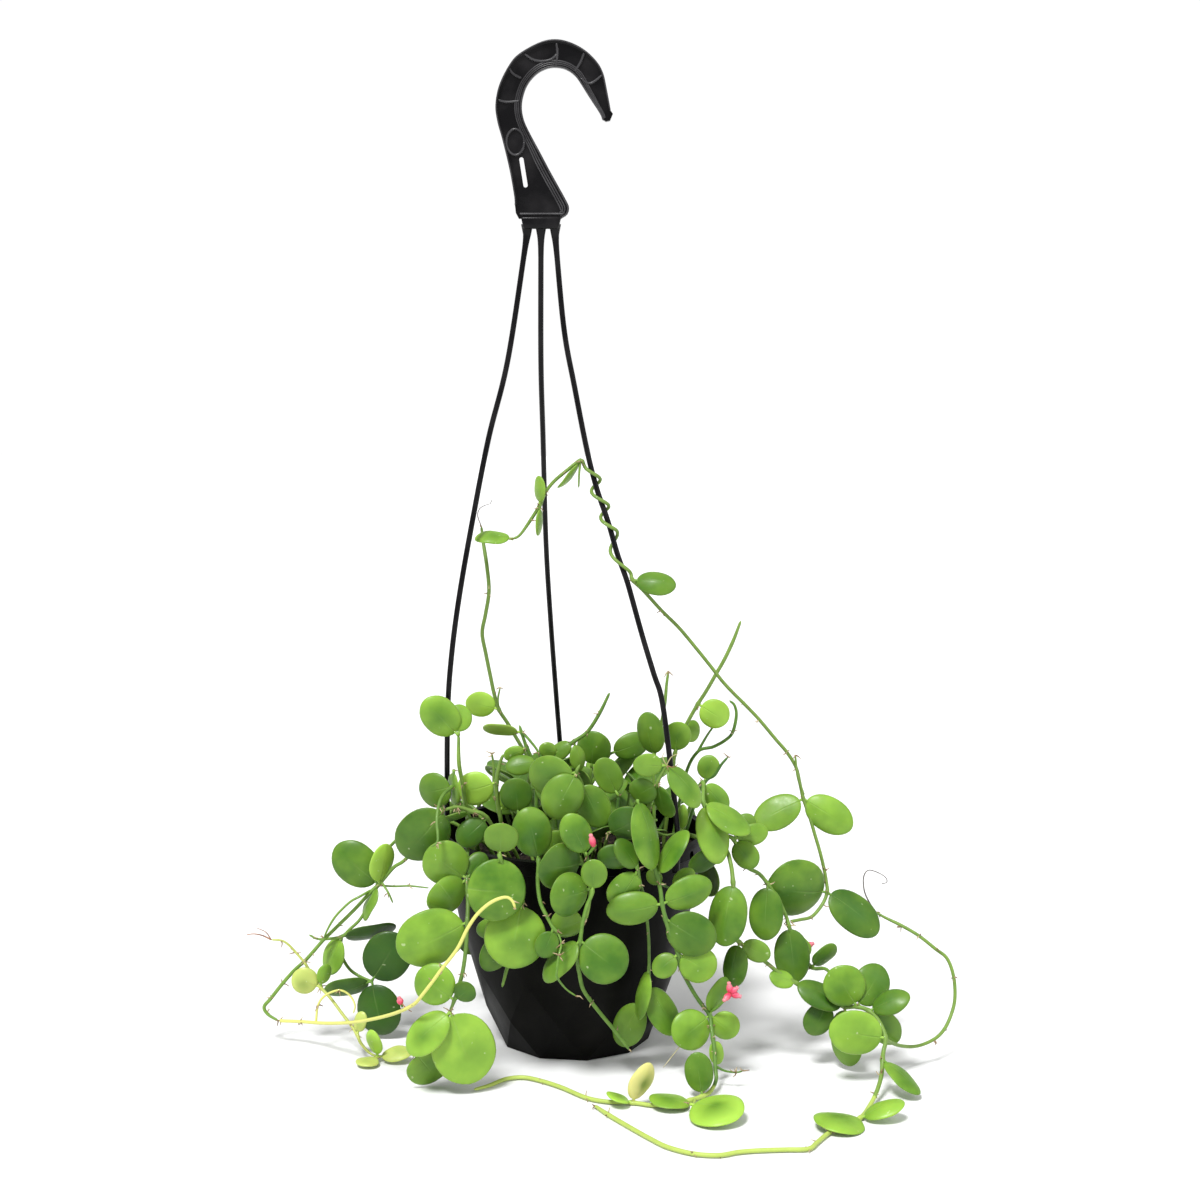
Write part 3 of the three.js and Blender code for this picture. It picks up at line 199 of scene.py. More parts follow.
def spread(material, value, low, high, to_low, to_high):
    """A value from one range to another."""
    return node(material, "MapRange", {"Value": value, "From Min": low, "From Max": high,
                                       "To Min": to_low, "To Max": to_high}).outputs["Result"]


def feed(material, shader, **sockets):
    """Links values to a shader's sockets."""
    for socket, value in sockets.items():
        material.node_tree.links.new(value, shader.inputs[socket.replace("_", " ")])


def relief(material, shader, height, depth):
    """Fine relief on the surface, its depth in millimetres."""
    bump = node(material, "Bump", {"Height": height, "Distance": depth * MM})
    feed(material, shader, Normal=bump.outputs["Normal"])


rings = []
for sides, radius, height, turn in POT_LEVELS:
    bpy.ops.mesh.primitive_circle_add(vertices=sides, radius=radius * MM, location=(0, 0, height * MM),
                                      rotation=(0, 0, math.radians(FACET_TURN + turn - 90)))
    rings.append(bpy.context.object)
pick(*rings)
bpy.ops.object.join()
bpy.ops.object.transform_apply()
bpy.ops.object.mode_set(mode="EDIT")
bpy.ops.mesh.select_all(action="SELECT")
bpy.ops.mesh.convex_hull()
bpy.ops.object.mode_set(mode="OBJECT")
pot = bpy.context.object
pot.name = "moulded_pot"
combine(pot, turned("band", RIM_OUTSIDE), "UNION")
combine(pot, turned("inside", [*POT_INSIDE, (RIM_RADIUS - WALL, RIM_TOP + 1)]), "DIFFERENCE")
groove = turned("groove", FLOOR_GROOVE)
combine(groove, turned("middle", GROOVE_MIDDLE), "DIFFERENCE")
combine(pot, groove, "DIFFERENCE")
for i in range(DRAIN_HOLES):
    angle = 90 + 360 / DRAIN_HOLES * i
    hole = bored(DRAIN_RADIUS, polar(DRAIN_RING, angle, -1), polar(DRAIN_RING, angle, 4))
    combine(pot, hole, "DIFFERENCE")
for arm_angle in ARM_ANGLES.values():
    for angle in (arm_angle - PEG_SPREAD, arm_angle, arm_angle + PEG_SPREAD):
        hole = bored(PEG_HOLE, polar(RIM_RADIUS - 6, angle, PEG_HEIGHT),
                     polar(RIM_RADIUS + 4, angle, PEG_HEIGHT))
        combine(pot, hole, "DIFFERENCE")
soften(pot, 0.35, 35)
bpy.ops.object.shade_smooth_by_angle(angle=math.radians(9))

plastic, shader = finish("pot_plastic", (0.002, 0.002, 0.0017), 0.42, Specular_IOR_Level=0.06)
dust = grain(plastic, 28, 6)
rub = grain(plastic, 70, 4, (1, 1, 0.15))
feed(plastic, shader,
     Base_Color=tones(plastic, dust, (0.45, (0.0015, 0.0015, 0.001)), (0.8, (0.009, 0.0085, 0.0075))),
     Roughness=spread(plastic, rub, 0.3, 0.7, 0.34, 0.55))
relief(plastic, shader, grain(plastic, 1100, 2), 0.05)
pot.data.materials.clear()
pot.data.materials.append(plastic)
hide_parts("pot")
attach(pot, "root")

# Soil: dark peat with loose crumbs and a little white grit on it, filled to a little under the rim and
# heaped slightly in the middle. It closes round every stem that is rooted in it.
SOIL_TOP = 111
SOIL_CROWN = 3
HEAP_RADIUS = 30
SOIL_GAP = 0.35
SOIL_LUMPS = 1.6
CRUMBS = 320
GRIT_EVERY = 9
CRUMB_SIZES = {"peat_crumbs": (0.7, 2.4), "white_grit": (0.5, 1.1)}


def place_mesh(name, vertices, faces, materials):
    """A piece from points in metres and faces, smooth all over."""
    mesh = bpy.data.meshes.new(name)
    mesh.from_pydata(vertices, [], faces)
    for material in materials:
        mesh.materials.append(material)
    mesh.shade_smooth()
    piece = bpy.data.objects.new(name, mesh)
    bpy.context.scene.collection.objects.link(piece)
    return piece


def mottled(name, color, roughness, spots, stops, bumps=None, **more):
    """A material with colours along a noise: spots as (scale, detail), bumps as (scale, detail, depth)."""
    material, shader = finish(name, color, roughness, **more)
    feed(material, shader, Base_Color=tones(material, grain(material, *spots), *stops))
    if bumps:
        relief(material, shader, grain(material, *bumps[:2]), bumps[2])
    return material


soil_edge = float(np.interp(SOIL_TOP, *np.array(POT_INSIDE).T[::-1])) - SOIL_GAP


def soil_height(radius):
    """The height of the soil, which is level in the middle and falls to its edge."""
    return SOIL_TOP + SOIL_CROWN * min(1, (soil_edge - radius) / (soil_edge - HEAP_RADIUS))


soil_foot = POT_INSIDE[0][1] + SOIL_GAP
soil_side = [(radius - SOIL_GAP, max(height, soil_foot)) for radius, height in POT_INSIDE[:-1]]
soil_top = [(radius, soil_height(radius)) for radius in np.linspace(soil_edge, 1, 40)]
soil = turned("peat_soil", [*soil_side, *soil_top])
for vertex in soil.data.vertices:
    if vertex.co.z > (SOIL_TOP - 0.5) * MM:
        away = min(1, (soil_edge - vertex.co.xy.length / MM) / 3)
        rough = noise.noise(vertex.co * 130) + 0.6 * noise.noise(vertex.co * 420)
        vertex.co.z += SOIL_LUMPS * MM * away * rough
peat = mottled("peat", (0.015, 0.01, 0.007), 0.95, (420, 6),
               [(0.35, (0.005, 0.0035, 0.003)), (0.75, (0.08, 0.055, 0.035)), (0.55, (0.018, 0.012, 0.008))],
               (900, 8, 0.9), Specular_IOR_Level=0.2)
soil.data.materials.append(peat)
draw = np.random.default_rng(5)
bpy.ops.mesh.primitive_ico_sphere_add(subdivisions=2, radius=1)
pebble = bpy.context.object
pebble_points = np.array([vertex.co for vertex in pebble.data.vertices])
pebble_faces = [list(face.vertices) for face in pebble.data.polygons]
bpy.data.objects.remove(pebble)
crumbs = {"peat_crumbs": ([], []), "white_grit": ([], [])}
for i in range(CRUMBS):
    kind = "peat_crumbs" if i % GRIT_EVERY else "white_grit"
    radius, angle = soil_edge * math.sqrt(draw.uniform(0, 0.93)), draw.uniform(0, 360)
    size = draw.uniform(*CRUMB_SIZES[kind])
    spun, _ = np.linalg.qr(draw.normal(size=(3, 3)))
    squash = np.array([1, draw.uniform(0.5, 1), draw.uniform(0.35, 0.8)])
    lumps = 1 + 0.18 * draw.uniform(-1, 1, len(pebble_points))[:, None]
    at = polar(radius, angle, soil_height(radius) + 0.3)
    points, faces = crumbs[kind]
    faces.extend([[index + len(points) for index in face] for face in pebble_faces])
    points.extend((at + (pebble_points * lumps * squash * size) @ spun.T) * MM)
grit = mottled("white_grit", (0.62, 0.6, 0.55), 0.85, (600, 3),
               [(0.3, (0.4, 0.37, 0.3)), (0.7, (0.75, 0.73, 0.68))], (1500, 3, 0.2))
for kind, material in (("peat_crumbs", peat), ("white_grit", grit)):
    piece = place_mesh(kind, *crumbs[kind], [material])
    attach(piece, "root")
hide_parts("soil")
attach(soil, "root")

# Hanger crook: one black moulding. A raised flange and fine ridges follow its edge. Inside them lies a
# thin web with curved ribs that part it into cells, a round cell in the neck and a slot. A collar under
# it holds the tops of the three arms.
CROOK_OUTSIDE = [(-32, 478), (-32, 481.7), (-34.6, 496.9), (-38.4, 513.1), (-41.1, 522.9), (-42.1, 532),
                 (-39.9, 542.7), (-34.3, 553.4), (-28.8, 559.3), (-17.8, 565.2), (-9.6, 566.8),
                 (-1.4, 565.2), (6.8, 560.9), (13.4, 554.5), (16.6, 548.5), (18.3, 541), (20.5, 529.3)]
CROOK_TIP = [(22.1, 527.2), (20.5, 523.4), (18.3, 522.9)]
CROOK_INSIDE = [(16.6, 523.9), (15, 527.8), (9.5, 535.8), (4, 544.1), (1.3, 547.6), (-2.5, 550.4),
                (-6.9, 551.8), (-12.4, 551.8), (-17.9, 549.7), (-22.3, 546), (-25.6, 541.1),
                (-27.6, 534.7), (-27.9, 529.3), (-26.8, 523.9), (-24.2, 518), (-18.1, 506.7),
                (-12.6, 496.4), (-7.1, 486.6), (-3.2, 479.5), (-2.1, 476.3), (-3, 472.8), (-6.6, 470.3)]
CROOK_FOOT = [(-29.8, 470.3), (-31.5, 473.5)]
CROOK_HALF = 3
COLLAR_MIDDLE = -17.6
COLLAR_TOP = 471.3
COLLAR_FOOT = 464.8
COLLAR_TOP_HALF = 11.1
COLLAR_FOOT_HALF = 9.7
COLLAR_DEPTH_HALF = 3.6
SLOT_TOP = np.array([-28.3, 0, 502.6])
SLOT_FOOT = np.array([-26.1, 0, 488.6])
SLOT_ASIDE = np.array([1.18, 0, 0.17])
SLOT_RADIUS = 1.19
RIB_RADIUS = 0.75
RIB_MIDDLE = 1.25
RIDGE_RADIUS = 0.45
ARM_TOPS = {"left": -25.4, "back": -17.7, "right": -9.9}
CROOK_RIBS = [[(-41, 534.6), (-36.5, 533.6), (-29, 534)], [(-35, 552), (-32.5, 548.6), (-28, 546.2)],
              [(-26.5, 559.5), (-22, 556.4), (-17, 555.4), (-12, 556.2), (-8.6, 559)],
              [(-8.8, 565), (-8.3, 560), (-9, 552.5)], [(6.4, 560), (4.4, 555), (1, 549.6)],
              [(4.4, 546.2), (7.2, 544), (10.6, 543.8), (16.4, 548)],
              [(-29.5, 473), (-18, 473), (-5, 473)]]
NECK_CELL = [(-31.6 + 4.9 * math.cos(turn), 512 + 7 * math.sin(turn))
             for turn in np.linspace(0, 2 * math.pi, 17)]


def smooth_line(points, step):
    """Points along a smooth curve through the given ones, a step or so apart."""
    points = [np.array(point, float) for point in points]
    held = [2 * points[0] - points[1], *points, 2 * points[-1] - points[-2]]
    line = [points[0]]
    for before, start, end, after in zip(held, held[1:], held[2:], held[3:]):
        leave, arrive = 0.5 * (end - before), 0.5 * (after - start)
        parts = max(1, math.floor(np.linalg.norm(end - start) / step + 0.5))
        for t in np.arange(1, parts + 1) / parts:
            line.append(start + leave * t + (3 * (end - start) - 2 * leave - arrive) * t**2
                        + (2 * (start - end) + leave + arrive) * t**3)
    return line


def ways_in(outline, most):
    """The way inward from each point of a closed outline, shorter where the plate is narrow."""
    ahead, behind = np.roll(outline, -1, 0) - outline, outline - np.roll(outline, 1, 0)
    ahead /= np.linalg.norm(ahead, axis=1)[:, None]
    behind /= np.linalg.norm(behind, axis=1)[:, None]
    inward = np.stack([(ahead + behind)[:, 1], -(ahead + behind)[:, 0]], 1)
    inward /= np.linalg.norm(inward, axis=1)[:, None]
    for point, way in zip(outline, inward):
        off = outline - point
        depth, aside = off @ way, np.abs(off @ np.array([-way[1], way[0]]))
        facing = depth[(depth > 0.8) & (aside < 0.6 * depth)]
        room = facing.min() if len(facing) else 10
        yield way * min(1, 0.3 * room / most)


# The steps from the plate's edge in to its web, as (way in, half thickness), which are narrower along the
# back and the foot, and the fine ridges along the throat, as (way in, height of the ridge's middle).
FLANGE_STEPS = [(0, 2.6), (0.35, CROOK_HALF), (1, CROOK_HALF), (1.2, 1.6), (5, 1.4), (5.2, 1.05)]
THROAT_RIDGES = [(0.65, 2.7), (2.2, 1.6), (3.5, 1.5), (4.8, 1.4)]
BACK_SHARE = 0.38
back = smooth_line(CROOK_OUTSIDE, 1.6)
throat = smooth_line(CROOK_INSIDE, 1.6)
crook_outline = np.array([*back, *CROOK_TIP, *throat, *CROOK_FOOT])
count = len(crook_outline)
throat_start = len(back) + len(CROOK_TIP)
inward = np.array(list(ways_in(crook_outline, FLANGE_STEPS[-1][0])))
inward[:len(back)] *= BACK_SHARE
inward[throat_start + len(throat):] *= BACK_SHARE
points, faces = [], []
for way in (-1, 1):
    first = len(points)
    for inset, depth in FLANGE_STEPS:
        points.extend((x * MM, way * depth * MM, z * MM) for x, z in crook_outline + inset * inward)
    last = len(points) - count
    for ring in range(first, last, count):
        for i in range(count):
            here, there = ring + i, ring + (i + 1) % count
            faces.append([here, there, there + count, here + count][::way])
    faces.append(list(range(last, last + count))[::way])
size = len(points) // 2
faces.extend([[i, i + size, (i + 1) % count + size, (i + 1) % count] for i in range(count)])
crook = place_mesh("hanger_crook", points, faces, [])
face_outward(crook)
through = np.array([0, 10, 0])
bpy.ops.mesh.primitive_cube_add(size=1)
slot = bpy.context.object
for vertex in slot.data.vertices:
    corner = SLOT_TOP if vertex.co.z > 0 else SLOT_FOOT
    corner = corner + SLOT_ASIDE * math.copysign(1, vertex.co.x) + through * math.copysign(1, vertex.co.y)
    vertex.co = corner * MM
combine(crook, slot, "DIFFERENCE")
for end in (SLOT_TOP, SLOT_FOOT):
    combine(crook, bored(SLOT_RADIUS, end - through, end + through), "DIFFERENCE")
pick(crook)
bpy.ops.object.shade_smooth_by_angle(angle=math.radians(32))


def tube(points, radii, sides, squash=1.0):
    """Points and faces of a closed tube along a line, turned as little as possible on its way."""
    points = np.array(points, float)
    along = np.gradient(points, axis=0)
    along /= np.linalg.norm(along, axis=1)[:, None]
    side = np.array([1.0, 0, 0]) if abs(along[0][2]) > 0.8 else np.array([0, 0, 1.0])
    turns = np.linspace(0, 2 * math.pi, sides, endpoint=False)
    made = []
    for point, way, radius in zip(points, along, np.broadcast_to(radii, len(points))):
        side = side - way * side.dot(way)
        side /= np.linalg.norm(side)
        other = np.cross(way, side) * squash
        made.append(point + radius * (np.outer(np.cos(turns), side) + np.outer(np.sin(turns), other)))
    made = [points[:1], *made, points[-1:]]
    faces = []
    last = 1 + sides * len(points)
    for i in range(sides):
        j = (i + 1) % sides
        faces.append([0, 1 + j, 1 + i])
        for ring in range(len(points) - 1):
            here = 1 + ring * sides
            faces.append([here + i, here + j, here + sides + j, here + sides + i])
        faces.append([last - sides + i, last - sides + j, last])
    return np.vstack(made), faces


def gather(shapes):
    """Several shapes as one list of points and one of faces."""
    points, faces = [], []
    for shape_points, shape_faces in shapes:
        faces.extend([[index + len(points) for index in face] for face in shape_faces])
        points.extend(shape_points)
    return np.array(points), faces


rib_shapes = []
for line in [*CROOK_RIBS, NECK_CELL]:
    for depth in (-RIB_MIDDLE, RIB_MIDDLE):
        course = [(x, depth, z) for x, z in smooth_line(line, 1)]
        rib_shapes.append(tube(course, RIB_RADIUS, 8, 1.3))
throat_now = slice(throat_start, throat_start + len(throat))
edges = [(throat_now, inset, middle) for inset, middle in THROAT_RIDGES]
edges.append((slice(0, len(back)), *THROAT_RIDGES[0]))
for part, inset, middle in edges:
    for depth in (-middle, middle):
        course = [(x, depth, z) for x, z in (crook_outline + inset * inward)[part]]
        rib_shapes.append(tube(course, RIDGE_RADIUS, 8))
points, faces = gather(rib_shapes)
ribs = place_mesh("crook_ribs", points * MM, faces, [])
bpy.ops.mesh.primitive_cube_add(size=1)
collar = bpy.context.object
collar.name = "crook_collar"
for vertex in collar.data.vertices:
    half, height = (COLLAR_TOP_HALF, COLLAR_TOP) if vertex.co.z > 0 else (COLLAR_FOOT_HALF, COLLAR_FOOT)
    x = COLLAR_MIDDLE + math.copysign(half, vertex.co.x)
    vertex.co = np.array([x, math.copysign(COLLAR_DEPTH_HALF, vertex.co.y), height]) * MM
soften(collar, 0.9, 30, 3)
bpy.ops.object.shade_smooth_by_angle(angle=math.radians(32))

hanger_plastic, shader = finish("hanger_plastic", (0.004, 0.0035, 0.0045), 0.3, Specular_IOR_Level=0.18)
scuff = grain(hanger_plastic, 60, 6)
feed(hanger_plastic, shader,
     Base_Color=tones(hanger_plastic, scuff, (0.45, (0.002, 0.0018, 0.0025)), (0.8, (0.014, 0.013, 0.014))),
     Roughness=spread(hanger_plastic, scuff, 0.3, 0.7, 0.2, 0.36))
relief(hanger_plastic, shader, grain(hanger_plastic, 900, 2), 0.04)
# The ribs and ridges get a lighter, glossier plastic: painted sheen for the highlights that their crests
# catch, with some wear.
crest_sheen_and_wear = mottled("crest_sheen_and_wear_plastic", (0.03, 0.029, 0.031), 0.32, (90, 4),
                 [(0.35, (0.02, 0.019, 0.021)), (0.7, (0.05, 0.049, 0.052))], Specular_IOR_Level=0.4)
for piece, material in ((crook, hanger_plastic), (ribs, crest_sheen_and_wear), (collar, hanger_plastic)):
    piece.data.materials.clear()
    piece.data.materials.append(material)
pick(crook, ribs, collar)
bpy.ops.object.join()
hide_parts("hanger_hook")
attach(crook, "root")

# Hanger arms: three thin black rods, moulded with the crook. Each swells into the collar, bows out and
# down to the rim, and ends in a peg through the rim band, with a catch behind it. Their courses are given
# as the viewer sees them: x and height on the upright plane through the pot's axis, then the depth y.
EYE = np.array([15.0, -1250.0, 445.0])
ARM_RADIUS = 1.6
ARM_REACH = RIM_RADIUS + RIM_LIP + 0.35 + ARM_RADIUS + 0.4
ARM_ROUTES = {
    "left": [(-36.4, 393, -9), (-47.3, 350, -18), (-56.1, 307, -25), (-64.4, 262, -32), (-69.6, 225, -35.5),
             (-72.2, 190, -37.3)],
    "back": [(-18, 393, 19), (-17, 350, 35), (-15.5, 289, 55), (-12.9, 243, 68), (-10.1, 203, 76)],
    "right": [(-5.1, 410, -4), (0.5, 379, -8), (7.7, 342, -14), (13.3, 320, -18), (19.5, 302, -23),
              (25.2, 282, -28), (30.3, 268, -32), (38.9, 237, -39), (46.4, 212, -45), (51, 196, -49)],
}
ARM_PASSES = 4
# The shares of an arm's radius as (way below the collar, share), and the bars at its end that stand
# outside and inside the rim band as (height, radius).
ARM_SWELL = [(-3, 2.1), (0, 2.1), (1.5, 1.6), (4, 1.3), (9, 1.06), (16, 0.96)]
SHOULDER = [(112.6, 0.8), (113, 1.1), (123.4, 1.1), (123.8, 0.8)]
CATCH = [(114.2, 0.5), (114.8, 1.2), (119.4, 1.2), (120, 0.5)]
PEG_RADIUS = 1.75
CURVE_STEP = 2.5


def seen(x, height, y):
    """The point at depth y on the viewer's line through x and height on the axis plane."""
    far = (y - EYE[1]) / -EYE[1]
    return np.array([EYE[0] + (x - EYE[0]) * far, y, EYE[2] + (height - EYE[2]) * far])


def upright(radius, angle, rows, sides, squash):
    """A bar that stands by the rim, from rows of (height, radius)."""
    return tube([polar(radius, angle, z) for z, _ in rows], [thick for _, thick in rows], sides, squash)


def arm_line(side):
    """An arm's course from inside the collar down to its peg."""
    top = ARM_TOPS[side]
    return [np.array([top, 0, COLLAR_FOOT + 3 - 0.35]), *smooth_line([
        np.array([top, 0, COLLAR_FOOT - 3]), *(seen(*point) for point in ARM_ROUTES[side]),
        polar(ARM_REACH, ARM_ANGLES[side], 140), polar(ARM_REACH, ARM_ANGLES[side], 113)], CURVE_STEP)]


for side, angle in ARM_ANGLES.items():
    line = np.array(arm_line(side))
    for _ in range(ARM_PASSES):
        line[2:-12] += 0.25 * (line[1:-13] - 2 * line[2:-12] + line[3:-11])
    radii = ARM_RADIUS * np.interp(COLLAR_FOOT - line[:, 2], *zip(*ARM_SWELL))
    inner = RIM_RADIUS - WALL - 2.6
    peg = tube([polar(inner, angle, PEG_HEIGHT), polar(ARM_REACH, angle, PEG_HEIGHT)], PEG_RADIUS, 16)
    shoulder = upright(ARM_REACH - 1.9, angle, SHOULDER, 10, 1.8)
    catch = upright(inner - 0.8, angle, CATCH, 12, 2)
    points, faces = gather([tube(line, radii, 16, 0.94), peg, shoulder, catch])
    arm = place_mesh(f"hanger_rod_{side}", points * MM, faces, [hanger_plastic])
    pick(arm)
    bpy.ops.object.shade_smooth_by_angle(angle=math.radians(40))
    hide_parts(f"hanger_arm_{side}")
    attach(arm, "root")

